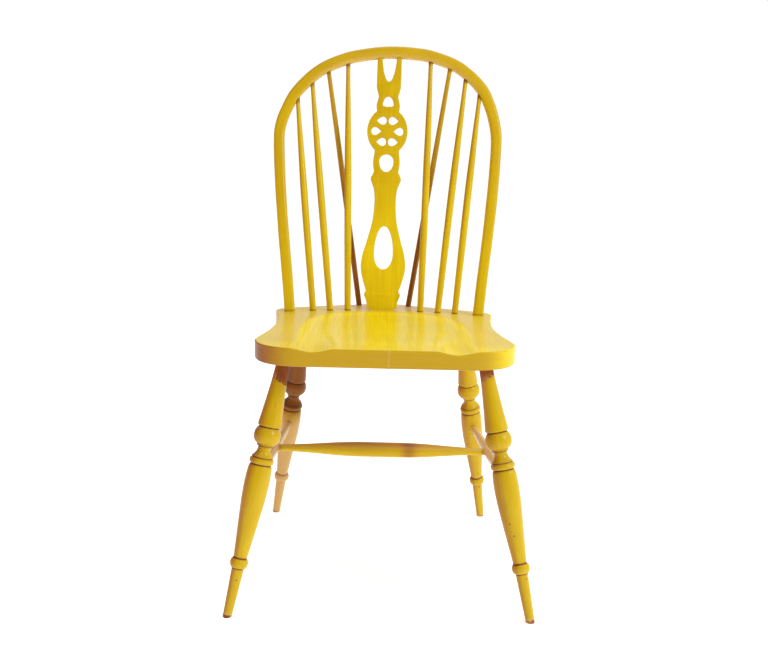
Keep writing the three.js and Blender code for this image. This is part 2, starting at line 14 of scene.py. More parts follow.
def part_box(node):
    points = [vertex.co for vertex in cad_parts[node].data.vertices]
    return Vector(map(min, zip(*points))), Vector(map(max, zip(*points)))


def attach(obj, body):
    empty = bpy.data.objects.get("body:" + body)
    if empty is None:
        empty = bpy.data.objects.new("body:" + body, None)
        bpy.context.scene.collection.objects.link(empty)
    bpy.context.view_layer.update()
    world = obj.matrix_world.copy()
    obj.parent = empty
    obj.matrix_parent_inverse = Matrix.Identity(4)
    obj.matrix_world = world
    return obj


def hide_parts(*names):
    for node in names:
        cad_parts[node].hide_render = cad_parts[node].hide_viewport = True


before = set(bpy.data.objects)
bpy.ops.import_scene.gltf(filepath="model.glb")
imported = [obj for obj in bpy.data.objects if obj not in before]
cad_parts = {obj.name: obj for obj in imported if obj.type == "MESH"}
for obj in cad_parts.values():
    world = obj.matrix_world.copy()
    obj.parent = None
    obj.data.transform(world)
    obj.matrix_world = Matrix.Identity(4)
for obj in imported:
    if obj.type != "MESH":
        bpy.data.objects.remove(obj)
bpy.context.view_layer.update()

bl_info = {
    "name": "Hoop back dining chair",
    "version": (1, 0, 0),
    "blender": (4, 5, 0),
    "location": "View3D > Sidebar > Chair",
    "description": "Builds the painted surfaces of a hoop back dining chair",
    "category": "Add Mesh",
}

# Seat
SEAT_TOP = 0.440
SEAT_THICK = 0.0295
SEAT_UNDER = SEAT_TOP - SEAT_THICK
SEAT_HALF = 0.2095
SEAT_FRONT = -0.180
SEAT_WIDEST = -0.109
SEAT_WAIST = 0.045
SEAT_CORNER = 0.168
SEAT_TAIL = 0.278
BOARD_JOINT = 0.005
SADDLE_HALF = SEAT_HALF - 0.0635
SADDLE_REAR = 0.181
SADDLE_DEPTH = 0.009
THIGH_DIP = 0.0055
THIGH_CENTRE = SADDLE_HALF - 0.033
THIGH_HALF = 0.038
OUTLINE_POINTS = 620
CURVE_STEPS = 24  # in each curve of the outline
TOP, TOP_EDGE, WALL, UNDER_EDGE, UNDER = range(5)  # where a ring of a seat board lies
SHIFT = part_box("seat_board_left")[0].y - SEAT_FRONT

# Hoop
HOOP_TILT = radians(11.5)
HOOP_FOOT_Y = 0.162
HOOP_RISE = 0.490
HOOP_HALF = SEAT_HALF - 0.006
HOOP_BAR = 0.020
HOOP_CROWN = 0.022
HOOP_DEPTH = 0.018
HOOP_SKEW = 0.045
HOOP_ROWS = 620
TENON = 0.015
WEDGE_HALF = 0.0066
WEDGE_REACH = 0.0165

# Sticks: foot across, foot back, top across
STICKS = {
    "outer": (0.1335, 0.175, 0.1705),
    "middle": (0.1016, 0.181, 0.1438),
    "inner": (0.0689, 0.188, 0.0775),
}
BRACE = (0.048, SEAT_TAIL - 0.028, 0.1137)

# Splat
SPLAT_FOOT_Y = 0.199
SPLAT_THICK = 0.009
SPLAT_FOOT_X = -0.0045
SPLAT_TOP_X = 0.0003
SPLAT_DRAWN = 0.470

# Legs and stretchers
FRONT_TOP = (SEAT_HALF - 0.0485, SEAT_FRONT + 0.064)
REAR_TOP = (SEAT_HALF - 0.0595, SEAT_CORNER + 0.004)
FRONT_FOOT = (FRONT_TOP[0] + 0.083, FRONT_TOP[1] - 0.072)
REAR_FOOT = (REAR_TOP[0] + 0.061, REAR_TOP[1] + 0.109)
STRETCHER_FRONT = 0.234
STRETCHER_REAR = 0.215
CROSSING = 0.47
LEG_FINE, LEG_COARSE = 0.7, 3.0  # spacing of a leg's rows in millimetres, on beads and on cones

SIDES = (("left", -1), ("right", 1))

# Turned pieces: seed of the first one, points round it, and how ragged its radius is
TURNING = {
    "spindle": (11, 36, 0.010),
    "brace": (31, 32, 0.010),
    "front_leg": (51, 72, 0.004),
    "rear_leg": (61, 72, 0.004),
    "side_stretcher": (71, 44, 0.008),
    "cross_stretcher": (81, 56, 0.008),
}
LEG_BOW = 0.0003
STRETCHER_BOW = 0.0006
CHIP_RADIUS = 0.0016

# Stage: a lamp's place, width and colour; the brightest way of the sky; the camera's turn and place
LAMPS = {
    "key": ((2.0, -1.2, 1.9), 0.9, (1.0, 0.98, 0.94)),
    "warm": ((-2.0, -0.6, 0.7), 1.6, (1.0, 0.50, 0.18)),
    "top": ((0.1, 0.5, 2.6), 1.6, (1.0, 1.0, 1.0)),
}
LIT_PLACE = (0, 0, 0.42)
FLOOR_HALF = 9
BRIGHT_SKY = (0.45, 0.50, 0.74)
CAMERA_TURN = (-0.012508, -0.185707, -0.025016)
CAMERA_PLACE = (-0.02221, -1.68394, 0.75306)


# ---------- numpy shapes ----------

def ease(low, high, value):
    """Smooth step: 0 before low, 1 past high, and 3t^2 - 2t^3 between."""
    t = np.clip((value - low) / (high - low), 0, 1)
    return t * t * (3 - 2 * t)


def unit(vector):
    """The vector divided by its length."""
    return vector / np.linalg.norm(vector, axis=-1, keepdims=True)


def monotone(places, sizes, at):
    """Monotone cubic through stations: each slope is the harmonic mean of the secants beside it."""
    places, sizes = np.asarray(places, float), np.asarray(sizes, float)
    step = np.diff(places)
    secant = np.diff(sizes) / step
    rising = secant[:-1] * secant[1:] > 0
    product = np.where(rising, secant[:-1] * secant[1:], 0)
    total = np.where(rising, secant[:-1] + secant[1:], 1)
    slope = np.concatenate([secant[:1], 2 * product / total, secant[-1:]])
    index = np.clip(np.searchsorted(places, at, side="right") - 1, 0, len(step) - 1)
    t = (at - places[index]) / step[index]
    rise = t * t * (3 - 2 * t)
    start = (t * (1 - t) ** 2) * step[index] * slope[index]
    end = (t * t * (t - 1)) * step[index] * slope[index + 1]
    return sizes[index] * (1 - rise) + sizes[index + 1] * rise + start + end


def profile(segments, spacing):
    """Rows of distance and radius in metres: a monotone cubic along each smooth segment.

    A segment is a list of places and diameters in millimetres.
    """
    rows = []
    for segment in segments:
        places, sizes = zip(*segment)
        count = max(4, int((places[-1] - places[0]) / spacing) + 1)
        at = np.linspace(places[0], places[-1], count + 1)[:-1]
        rows.append(np.stack([at, monotone(places, sizes, at) / 2], 1))
    rows.append(np.array([[segments[-1][-1][0], segments[-1][-1][1] / 2]]))
    return np.concatenate(rows) / 1000


def bezier(points, count):
    """Points of a Bezier curve of any degree, by repeated halving between neighbours (de Casteljau)."""
    t = np.linspace(0, 1, count + 1)[:, None]
    levels = [np.broadcast_to(point, (count + 1, 2)) for point in np.asarray(points, float)]
    while len(levels) > 1:
        levels = [a * (1 - t) + b * t for a, b in zip(levels, levels[1:])]
    return levels[0]


def through(points, count):
    """Uniform Catmull-Rom curve through points, with count steps between each pair."""
    points = np.asarray(points, float)
    spans = len(points) - 1
    at = np.linspace(0, spans, spans * count + 1)
    index = np.minimum(at.astype(int), spans - 1)
    t = (at - index)[:, None]
    before = points[np.maximum(index - 1, 0)]
    here, there = points[index], points[index + 1]
    after = points[np.minimum(index + 2, spans)]
    leave, arrive = (there - before) / 2, (after - here) / 2
    bend = 2 * here - 2 * there + leave + arrive
    sweep = -3 * here + 3 * there - 2 * leave - arrive
    return bend * t ** 3 + sweep * t ** 2 + leave * t + here


def evenly(points, count, closed=False):
    """A polyline resampled at equal steps of its own length."""
    loop = np.concatenate([points, points[:1]]) if closed else points
    length = np.concatenate([[0], np.cumsum(np.linalg.norm(np.diff(loop, axis=0), axis=1))])
    at = np.linspace(0, length[-1], count + 1)
    at = at[:-1] if closed else at
    return np.stack([np.interp(at, length, loop[:, axis]) for axis in range(loop.shape[1])], 1)


def ring_angles(count):
    """Equal angles once round."""
    return np.linspace(0, 2 * pi, count, endpoint=False)


class Line:
    """A straight axis with two directions across it: beside is near +X and facing is square to both."""

    def __init__(self, start, towards):
        self.start = np.asarray(start, float)
        self.length = float(np.linalg.norm(np.asarray(towards, float) - self.start))
        self.way = unit(np.asarray(towards, float) - self.start)
        square = np.array([0.0, 1.0, 0.0]) if abs(self.way[2]) > 0.6 else np.array([0.0, 0.0, 1.0])
        self.beside = unit(np.cross(self.way, square))
        self.facing = np.cross(self.beside, self.way)

    def at(self, distance):
        """The place at a distance along the axis."""
        return self.start + self.way * distance

    def outward(self, angle, axis):
        """How far a surface round the line, at an angle, faces along one axis of the frame."""
        return np.cos(angle) * self.beside[axis] + np.sin(angle) * self.facing[axis]

    def ends(self, distance, inset, fade):
        """1 at both ends, an inset in from each, and fading towards the middle."""
        far = self.length - inset - distance
        return np.clip(np.exp(-(distance - inset) / fade) + np.exp(-far / fade), 0, 1)


def lathe(line, rows, kind, number, bow):
    """Turned surface: start + s*way + r*(cos a*beside + sin a*facing).

    A long half wave of bow and a few low harmonics in the radius keep it from being perfectly true.
    Returns the points, the wood's own coordinates there (across, across, along) and the angles.
    """
    seed, turns, ragged = TURNING[kind]
    random = np.random.default_rng(seed + number)
    angle = ring_angles(turns)[None, :]
    along = rows[:, :1]
    phase = random.uniform(0, 2 * pi, 4)
    wobble = sin(phase[0]) * np.sin(2 * angle + phase[1] + along * 9)
    wobble = wobble + 0.6 * np.sin(3 * angle + phase[2] + along * 23)
    radius = rows[:, 1:] * (1 + ragged * wobble)
    share = (along - rows[0, 0]) / (rows[-1, 0] - rows[0, 0])
    sway = bow * np.sin(pi * share)
    across = radius * np.cos(angle) + sway * cos(phase[3])
    out = radius * np.sin(angle) + sway * sin(phase[3])
    points = (line.start + along[..., None] * line.way
              + across[..., None] * line.beside + out[..., None] * line.facing)
    offset = random.uniform(-5, 5, 3)
    wood = np.stack([across, out, np.broadcast_to(along, across.shape)], -1) + offset
    return points, wood, angle


def superellipse(angle, power):
    """Both coordinates of |x|^(2/power) + |y|^(2/power) = 1 at an angle."""
    across, out = np.cos(angle), np.sin(angle)
    return np.abs(across) ** power * np.sign(across), np.abs(out) ** power * np.sign(out)


def flat_end(points, row, direction, height):
    """Slides one ring along the axis until it lies in the level plane at a height."""
    lift = (height - points[row, :, 2]) / direction[2]
    points[row] += lift[:, None] * direction


def tube_faces(rows, columns):
    """Quads of a grid whose columns close on themselves, with a fan on each end to its pole."""
    low = np.arange(rows - 1)[:, None] * columns
    here = np.arange(columns)[None, :]
    there = (here + 1) % columns
    quads = np.stack([low + here, low + there, low + columns + there, low + columns + here], -1)
    first, last = rows * columns, rows * columns + 1
    top = (rows - 1) * columns
    start = np.stack([np.full(columns, first), there[0], here[0]], -1)
    end = np.stack([np.full(columns, last), top + here[0], top + there[0]], -1)
    return quads.reshape(-1, 4).tolist() + start.tolist() + end.tolist()


def with_poles(grid):
    """A grid's points as one list, with the middle of its first and last ring added."""
    flat = grid.reshape(-1, grid.shape[-1])
    return np.concatenate([flat, grid[0].mean(0)[None], grid[-1].mean(0)[None]])


def poled(values, rows, columns):
    """A value given by row, or over the grid, carried to every point and to both poles."""
    grid = np.broadcast_to(np.asarray(values, float), (rows, columns))
    return np.concatenate([grid.ravel(), [grid[0].mean(), grid[-1].mean()]])


def turns_inward(points, faces):
    """True when the closed surface's signed volume is negative."""
    corners = np.array([face[:3] for face in faces])
    quads = np.array([face for face in faces if len(face) == 4])
    if len(quads):
        corners = np.concatenate([corners, quads[:, [0, 2, 3]]])
    a, b, c = (points[corners[:, corner]] for corner in range(3))
    return np.einsum("ij,ij->", a, np.cross(b, c)) < 0


def new_piece(name, points, faces, wood, marks, finish, node, sharp=None):
    """Makes the mesh with its wood coordinates, marks and finish, and sets it in the frame.

    The piece rides on the chair's one body and stands for one node of the frame.
    """
    points = np.array(points, float)
    points[:, 1] += SHIFT
    if turns_inward(points, faces):
        faces = [face[::-1] for face in faces]
    mesh = bpy.data.meshes.new(name)
    mesh.from_pydata(points, [], faces)
    mesh.shade_smooth()
    if sharp is not None:
        mesh.set_sharp_from_angle(angle=sharp)
    store_marks(mesh, wood, marks)
    mesh.materials.append(finish)
    piece = bpy.data.objects.new(name, mesh)
    bpy.context.scene.collection.objects.link(piece)
    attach(piece, "root")
    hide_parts(node)


def grid_piece(name, grid, wood, marks, finish, node, sharp=None):
    """A closed piece from a grid whose columns go round, with a fan at each end."""
    rows, columns = grid.shape[:2]
    spread = {mark: poled(values, rows, columns) for mark, values in marks.items()}
    new_piece(name, with_poles(grid), tube_faces(rows, columns), with_poles(wood), spread, finish,
              node, sharp)


def store_marks(mesh, wood, marks):
    """Writes the wood coordinates and each mark as an attribute on the points."""
    grain = mesh.attributes.new("wood", "FLOAT_VECTOR", "POINT")
    grain.data.foreach_set("vector", np.asarray(wood, np.float32).ravel())
    for name in MARKS:
        values = marks.get(name, 0.0)
        whole = np.broadcast_to(np.asarray(values, np.float32), (len(mesh.vertices),))
        mesh.attributes.new(name, "FLOAT", "POINT").data.foreach_set("value", np.clip(whole, 0, 1))


# ---------- the chair's own lines ----------

def hoop_point(across, up, out=0.0):
    """A place in the hoop's plane: across, up along it, and out of it to the front."""
    across, up, out = np.broadcast_arrays(*(np.asarray(share, float) for share in (across, up, out)))
    back = HOOP_FOOT_Y + up * sin(HOOP_TILT) - out * cos(HOOP_TILT)
    height = SEAT_TOP + up * cos(HOOP_TILT) + out * sin(HOOP_TILT)
    return np.stack([across, back, height], -1)


def hoop_line(steps=36):
    """Middle of the bar in its plane: a Catmull-Rom curve through the right half and its mirror image.

    The crown is skewed by a small slope. The shape is drawn for a half width of 202.3 and a rise of 490.
    """
    right = np.array([
        (172, -34), (180.5, 58), (190, 147), (198, 237), (202.3, 318), (199.8, 352), (189, 387),
        (170.5, 421), (130.5, 458), (83, 479), (42, 487),
    ]) * (HOOP_HALF / 202.3, HOOP_RISE / 490)
    left = right[::-1] * (-1, 1)
    bent = np.concatenate([right, [(0, HOOP_RISE)], left])
    bent[:, 1] += HOOP_SKEW * bent[:, 0] * ease(0.65, 0.85, bent[:, 1] / HOOP_RISE)
    return through(bent, steps)


def hoop_half_width(up):
    """Half the bar's width, which grows towards the crown."""
    crown = ease(0.6, 1, up / HOOP_RISE)
    return (HOOP_BAR + (HOOP_CROWN - HOOP_BAR) * crown) / 2


def hoop_under(across):
    """Height, along the hoop's plane, of the inner edge of the bar at a distance from the middle."""
    line = hoop_line()
    way = unit(np.gradient(line, axis=0))
    half = hoop_half_width(line[:, 1])
    inner = line - half[:, None] * np.stack([way[:, 1], -way[:, 0]], 1)
    upper = inner[inner[:, 1] > 0.65 * HOOP_RISE]
    order = np.argsort(upper[:, 0])
    return float(np.interp(across, upper[order, 0], upper[order, 1]))


def stick_line(side, foot_x, foot_y, top_x):
    """A stick's axis from the seat's top to the hoop's inner edge."""
    top = hoop_point(side * top_x, hoop_under(side * top_x))
    return Line((side * foot_x, foot_y, SEAT_TOP), top)


def leg_line(side, foot, top):
    """A leg's axis from the floor to the underside of the seat."""
    return Line((side * foot[0], foot[1], 0.0), (side * top[0], top[1], SEAT_UNDER))


def side_stretcher_line(side):
    """From the front leg's axis to the rear leg's."""
    front = leg_line(side, FRONT_FOOT, FRONT_TOP).at(STRETCHER_FRONT)
    rear = leg_line(side, REAR_FOOT, REAR_TOP).at(STRETCHER_REAR)
    return Line(front, rear)


def saddle_drop(x, y):
    """Depth of the saddle under the rim.

    Behind, a dish with a rounded square outline: depth*(1 - radius^3), where radius^2.6 is the sum of
    each coordinate's share to the power 2.6. To the front it turns into two cosine dips with a pommel
    between them.
    """
    middle = -0.015
    square = 2.6
    reach = np.where(y > middle, SADDLE_REAR - middle, 0.400)
    shares = np.abs(x / SADDLE_HALF) ** square + np.abs((y - middle) / reach) ** square
    dish = SADDLE_DEPTH * (1 - shares ** (3 / square))
    offset = np.clip((np.abs(x) - THIGH_CENTRE) / THIGH_HALF, -1, 1)
    thigh = THIGH_DIP * np.cos(offset * pi / 2) ** 2
    front = ease(0, 1, (0.020 - y) / (0.020 - SEAT_FRONT))
    drop = dish + (thigh - dish) * front
    rim = 0.0006
    return (drop + np.sqrt(drop * drop + rim * rim)) / 2 - rim / 2 * np.exp(-np.abs(drop) / rim)


def half_seat():
    """Right half of the seat's outline: Bezier curves from the front, round the side, to the tail."""
    waist, rear = SEAT_HALF - 0.0195, SEAT_HALF - 0.007
    tail_x = BRACE[0]
    front = (SEAT_HALF * 0.6, SEAT_FRONT)
    widest = (SEAT_HALF, SEAT_WIDEST)
    drawn_in = (waist, SEAT_WAIST)
    corner = (rear, SEAT_CORNER)
    behind = (rear - 0.012, SEAT_CORNER + 0.031)
    tail = (tail_x, SEAT_TAIL - 0.017)
    curves = (
        [(0, SEAT_FRONT), front],
        [front, (SEAT_HALF - 0.037, SEAT_FRONT), (SEAT_HALF - 0.004, SEAT_FRONT + 0.022), widest],
        [widest, (SEAT_HALF, SEAT_WIDEST + 0.018), (waist - 0.001, SEAT_WAIST - 0.065), drawn_in],
        [drawn_in, (waist, SEAT_WAIST + 0.045), (rear - 0.006, SEAT_WAIST + 0.090), corner],
        [corner, (rear + 0.002, SEAT_CORNER + 0.018), behind],
        [behind, (rear - 0.080, SEAT_TAIL - 0.042), (tail_x + 0.020, SEAT_TAIL - 0.026), tail],
        [tail, (tail_x * 0.5, SEAT_TAIL), (0, SEAT_TAIL)],
    )
    return np.concatenate([bezier(curve, CURVE_STEPS)[:-1] for curve in curves] + [[(0, SEAT_TAIL)]])


def board_outline(side, gap):
    """Outline of one board: its share of the seat's outline, closed along the joint."""
    half = half_seat()
    edge = BOARD_JOINT + side * gap / 2
    behind = half[:-CURVE_STEPS - 2:-1]
    tail = float(np.interp(edge, behind[:, 0], behind[:, 1]))
    corners = np.array([(edge, SEAT_FRONT)]), np.array([(edge, tail)])
    run = half[half[:, 0] > edge + 0.0005] if side > 0 else half * (-1, 1)
    return evenly(np.concatenate([corners[0], run, corners[1]]), OUTLINE_POINTS, closed=True)


# ---------- finishes ----------

MARKS = ("dirt", "bare", "glaze_and_shade", "pale", "tone")


class Wire:
    """A number on a material's socket, so that shader maths reads as sums in Python."""

    def __init__(self, kit, socket):
        self.kit = kit
        self.socket = socket

    def maths(self, operation, *values):
        inputs = dict(enumerate(values))
        return self.kit.node("ShaderNodeMath", {"operation": operation}, inputs)["Value"]

    def __add__(self, other):
        return self.maths("ADD", self, other)

    def __sub__(self, other):
        return self.maths("SUBTRACT", self, other)

    def __rsub__(self, other):
        return self.maths("SUBTRACT", other, self)

    def __mul__(self, other):
        return self.maths("MULTIPLY", self, other)

    __radd__ = __add__
    __rmul__ = __mul__

    def eased(self, low, high):
        """Smooth step from low to high."""
        return self.mapped(low, high, "SMOOTHSTEP")

    def mapped(self, low, high, shape="LINEAR"):
        """From 0 at low to 1 at high, and held there."""
        sockets = {"Value": self, "From Min": low, "From Max": high}
        return self.kit.node("ShaderNodeMapRange", {"interpolation_type": shape}, sockets)["Result"]

    def held(self):
        """Kept between 0 and 1."""
        return self.maths("MINIMUM", self.maths("MAXIMUM", self, 0.0), 1.0)


class Outputs:
    """A node's outputs by name."""

    def __init__(self, kit, made):
        self.kit = kit
        self.made = made

    def __getitem__(self, name):
        if isinstance(name, str):
            live = [socket for socket in self.made.outputs if socket.name == name and socket.enabled]
            return Wire(self.kit, live[0])
        return Wire(self.kit, self.made.outputs[name])


class Kit:
    """Adds nodes to the tree of a material or a world."""

    def __init__(self, owner):
        owner.use_nodes = True
        self.tree = owner.node_tree
        self.tree.nodes.clear()

    def node(self, kind, settings=None, inputs=None):
        """Adds a node: its settings first, then a value or a link for each of its sockets."""
        made = self.tree.nodes.new(kind)
        for key, value in (settings or {}).items():
            setattr(made, key, value)
        for key, value in (inputs or {}).items():
            live = [socket for socket in made.inputs if socket.name == key and socket.enabled]
            socket = made.inputs[key] if isinstance(key, int) else live[0]
            if isinstance(value, Wire):
                self.tree.links.new(value.socket, socket)
            else:
                socket.default_value = value
        return Outputs(self, made)

    def mix(self, factor, first, second):
        """One colour laid over another."""
        return self.node("ShaderNodeMix", {"data_type": "RGBA"}, {0: factor, 6: first, 7: second})[2]


class Finish(Kit):
    """One material's nodes, over the chair's own coordinates and the wood's."""

    def __init__(self, name):
        self.material = bpy.data.materials.new(name)
        super().__init__(self.material)
        self.place = self.node("ShaderNodeTexCoord")["Object"]
        self.wood = self.node("ShaderNodeAttribute", {"attribute_name": "wood"})["Vector"]

    def mark(self, name):
        """One of the marks stored on the piece's points."""
        return self.node("ShaderNodeAttribute", {"attribute_name": name})["Fac"]

    def drawn_out(self, share):
        """The wood's coordinates, with a share of their length along the grain."""
        sockets = {0: self.wood, 1: (1.0, 1.0, share)}
        return self.node("ShaderNodeVectorMath", {"operation": "MULTIPLY"}, sockets)["Vector"]

    def noise(self, vector, scale, detail=3.0, rough=0.55, warp=0.0):
        """Fractal noise about 0.5."""
        sockets = {"Vector": vector, "Scale": scale, "Detail": detail, "Roughness": rough,
                   "Distortion": warp}
        return self.node("ShaderNodeTexNoise", None, sockets)["Fac"]

    def near(self, places, radius):
        """1 within a radius of any of a few places on the chair, with a ragged edge."""
        ragged = (self.noise(self.place, 900.0, 2.0) - 0.5) * (radius * 1.6)
        total = None
        for place in places:
            settings = {"operation": "DISTANCE"}
            reach = self.node("ShaderNodeVectorMath", settings, {0: self.place, 1: place})["Value"]
            spot = 1.0 - (reach + ragged).eased(radius * 0.55, radius)
            total = spot if total is None else total.maths("MAXIMUM", total, spot)
        return total

    def surface(self, colour, roughness, height, relief, sheen=None):
        """Ends the material in one glossy layered surface."""
        bump = self.node("ShaderNodeBump", None, {"Strength": 1.0, "Distance": relief, "Height": height})
        sockets = {"Base Color": colour, "Roughness": roughness, "Normal": bump["Normal"]}
        sockets.update(sheen or {})
        shader = self.node("ShaderNodeBsdfPrincipled", None, sockets)
        self.node("ShaderNodeOutputMaterial", None, {"Surface": shader["BSDF"]})
        return self.material


def rgba(colour):
    """A stored colour with full alpha."""
    return (*colour, 1.0)


def paint(name, chips=()):
    """Old yellow paint over turned wood.

    Golden and bright paint by the tone mark and a slow cloud, drawn out along the wood as brush and grain
    lines, where the tone mark also lays painted highlights on some pieces; brown glaze, and on some
    pieces painted shade, by the brown mark; dirt in the hollows; and wood where the bare mark and a
    ragged noise say that the paint has gone.
    """
    shades = bpy.context.scene.chair_colours
    kit = Finish(name)
    cloud = kit.noise(kit.place, 7.0, 3.0)
    brush = kit.noise(kit.drawn_out(0.03), 340.0, 3.0, 0.6)
    grain = kit.noise(kit.drawn_out(0.02), 900.0, 2.0, 0.6)
    mottle = kit.noise(kit.drawn_out(0.35), 60.0, 4.0, 0.6)
    fine = kit.noise(kit.place, 420.0, 4.0, 0.65)

    tone = (kit.mark("tone") + (cloud - 0.5) * 0.55 + (mottle - 0.5) * 0.35).held()
    colour = kit.mix(tone, rgba(shades.golden), rgba(shades.bright))
    lines = ((brush - 0.5) * 1.5 + (grain - 0.5) * 0.9 + 0.32).held()
    colour = kit.mix(lines * 0.42, colour, rgba(shades.streak))
    thin = (mottle * 0.6 + brush * 0.5).eased(0.66, 0.84)
    colour = kit.mix(thin * 0.32, colour, rgba(shades.glaze_and_shade))

    # The brown mark lays brown glaze, and on the left sides of the legs, spindles and seat it lays
    # painted shade.
    glaze_and_shade = kit.mark("glaze_and_shade")
    cloudy = (mottle - 0.5) * 0.6 * glaze_and_shade.eased(0.02, 0.3)
    glaze = (glaze_and_shade * 1.35 + cloudy + (fine - 0.5) * 0.2 * glaze_and_shade).held()
    colour = kit.mix(glaze, colour, rgba(shades.glaze_and_shade))
    deep = (glaze_and_shade - 0.72).maths("MULTIPLY", glaze_and_shade - 0.72, 3.4).held()
    colour = kit.mix(deep, colour, rgba(shades.dark))

    pale = (kit.mark("pale") * (mottle * 1.1 + fine * 0.5 + 0.2)).held()
    colour = kit.mix(pale, colour, rgba(shades.pale))

    dirt_mark = kit.mark("dirt")
    dirt = (dirt_mark * (0.45 + mottle * 0.5 + fine * 0.6)).eased(0.12, 0.85)
    colour = kit.mix(dirt, colour, rgba(shades.dark))

    rag = (kit.noise(kit.wood, 210.0, 5.0, 0.7) - 0.5) * 0.75 + (mottle - 0.5) * 0.5
    bare_mark = kit.mark("bare")
    bare = (bare_mark + rag * bare_mark.eased(0.02, 0.35)).eased(0.5, 0.56)
    woody = kit.mix(brush.eased(0.35, 0.68), rgba(shades.wood_dark), rgba(shades.wood_light))
    woody = kit.mix((bare_mark - 0.7).maths("MULTIPLY", bare_mark - 0.7, 2.6).held(), woody,
                    rgba(shades.wood_dark))
    colour = kit.mix(bare, colour, woody)

    cells = kit.node("ShaderNodeTexVoronoi", None, {"Vector": kit.place, "Scale": 60.0})
    pits = 1.0 - cells["Distance"].eased(0.03, 0.055)
    pits = pits * kit.noise(kit.place, 22.0, 1.0).eased(0.62, 0.7)
    if chips:
        pits = pits.maths("MAXIMUM", pits, kit.near(chips, CHIP_RADIUS))
    colour = kit.mix(pits * 0.85, colour, rgba(shades.dark))

    rough = 0.33 + (fine - 0.5) * 0.16 + bare * 0.38 + dirt * 0.2 + (mottle - 0.5) * 0.14
    height = (brush * 0.16 + grain * 0.10 + mottle * 0.14 + fine * 0.05) + (1.0 - bare) * 0.5 - pits * 0.6
    gloss = {"Coat Weight": (1.0 - bare) * 0.13, "Coat Roughness": 0.16, "Specular IOR Level": 0.16}
    return kit.surface(colour, rough, height, shades.relief, gloss)


def bare_wood(name, end_grain=False):
    """Bare hardwood: dark and light bands drawn out along the wood, with fine pores."""
    shades = bpy.context.scene.chair_colours
    kit = Finish(name)
    bands = kit.noise(kit.drawn_out(1.0 if end_grain else 0.06), 260.0, 4.0, 0.6, 0.4)
    pores = kit.noise(kit.drawn_out(1.0 if end_grain else 0.03), 1500.0, 2.0)
    colour = kit.mix(bands.eased(0.3, 0.7), rgba(shades.wood_dark), rgba(shades.wood_light))
    colour = kit.mix(pores.eased(0.55, 0.75) * 0.6, colour, rgba(shades.dark))
    rough = 0.62 + (bands - 0.5) * 0.2
    return kit.surface(colour, rough, bands * 0.4 + pores * 0.4, shades.relief)


# ---------- properties ----------

def colour_property(name, words, value):
    """A colour that the paint reads."""
    return bpy.props.FloatVectorProperty(
        name=name, description=words, subtype="COLOR", size=3, min=0.0, max=1.0, default=value)


def number_property(name, words, value, unit="LENGTH"):
    """A size or a strength."""
    return bpy.props.FloatProperty(name=name, description=words, default=value, unit=unit)


class ChairColours(bpy.types.PropertyGroup):
    """Colours of the paint and the wood."""

    golden: colour_property("Golden", "Paint of the back and the base", (0.590, 0.390, 0.006))
    # This brighter yellow also shows painted highlights and painted bounce light where the tone mark is
    # high: the seat's saddle rim and right end, and low on the splat.
    bright: colour_property("Bright", "Fresher paint of the seat", (0.910, 0.722, 0.006))
    streak: colour_property("Streak", "Lines left by the brush and the grain", (0.470, 0.290, 0.005))
    # This brown is brown glaze, and also painted shade on the left sides of the legs, spindles and seat.
    glaze_and_shade: colour_property("Aged", "Brown glaze of thin paint over wood", (0.330, 0.120, 0.012))
    dark: colour_property("Dark", "Dirt in the hollows and old glue", (0.085, 0.022, 0.006))
    # This pale colour also shows a painted glow under the crown of the hoop.
    pale: colour_property("Pale", "Rubbed, faded paint", (0.760, 0.520, 0.300))
    wood_light: colour_property("Light wood", "Bare wood that has been rubbed", (0.480, 0.210, 0.090))
    wood_dark: colour_property("Dark wood", "Bare wood under the seat", (0.230, 0.060, 0.014))
    relief: bpy.props.FloatProperty(
        name="Relief", description="Thickness of the paint film and its brush lines",
        default=0.00022, min=0.0, unit="LENGTH")


class ChairSizes(bpy.types.PropertyGroup):
    """Finishing sizes that the frame doesn't fix."""

    seat_edge: number_property("Seat edge", "Rounding of the seat's top edge", 0.0021)
    seat_under_edge: number_property("Seat lower edge", "Rounding of the seat's lower edge", 0.0034)
    joint_gap: number_property("Joint gap", "Open width of the joint between the boards", 0.00004)
    splat_edge: number_property("Splat edge", "Rounding of the splat's edges", 0.0009)
    stick_bow: number_property("Stick bow", "How far a spindle bends from straight", 0.0007)


class ChairStage(bpy.types.PropertyGroup):
    """Light and camera."""

    key_power: number_property("Key", "Power of the key light", 35.0, "POWER")
    warm_power: number_property("Warm side", "Power of the warm light on the left", 11.0, "POWER")
    top_power: number_property("Top", "Power of the light overhead", 15.0, "POWER")
    sky: number_property("Sky", "Strength of the soft light all round", 0.78, "NONE")
    lens: number_property("Lens", "Focal length", 46.875, "CAMERA")


# ---------- pieces ----------

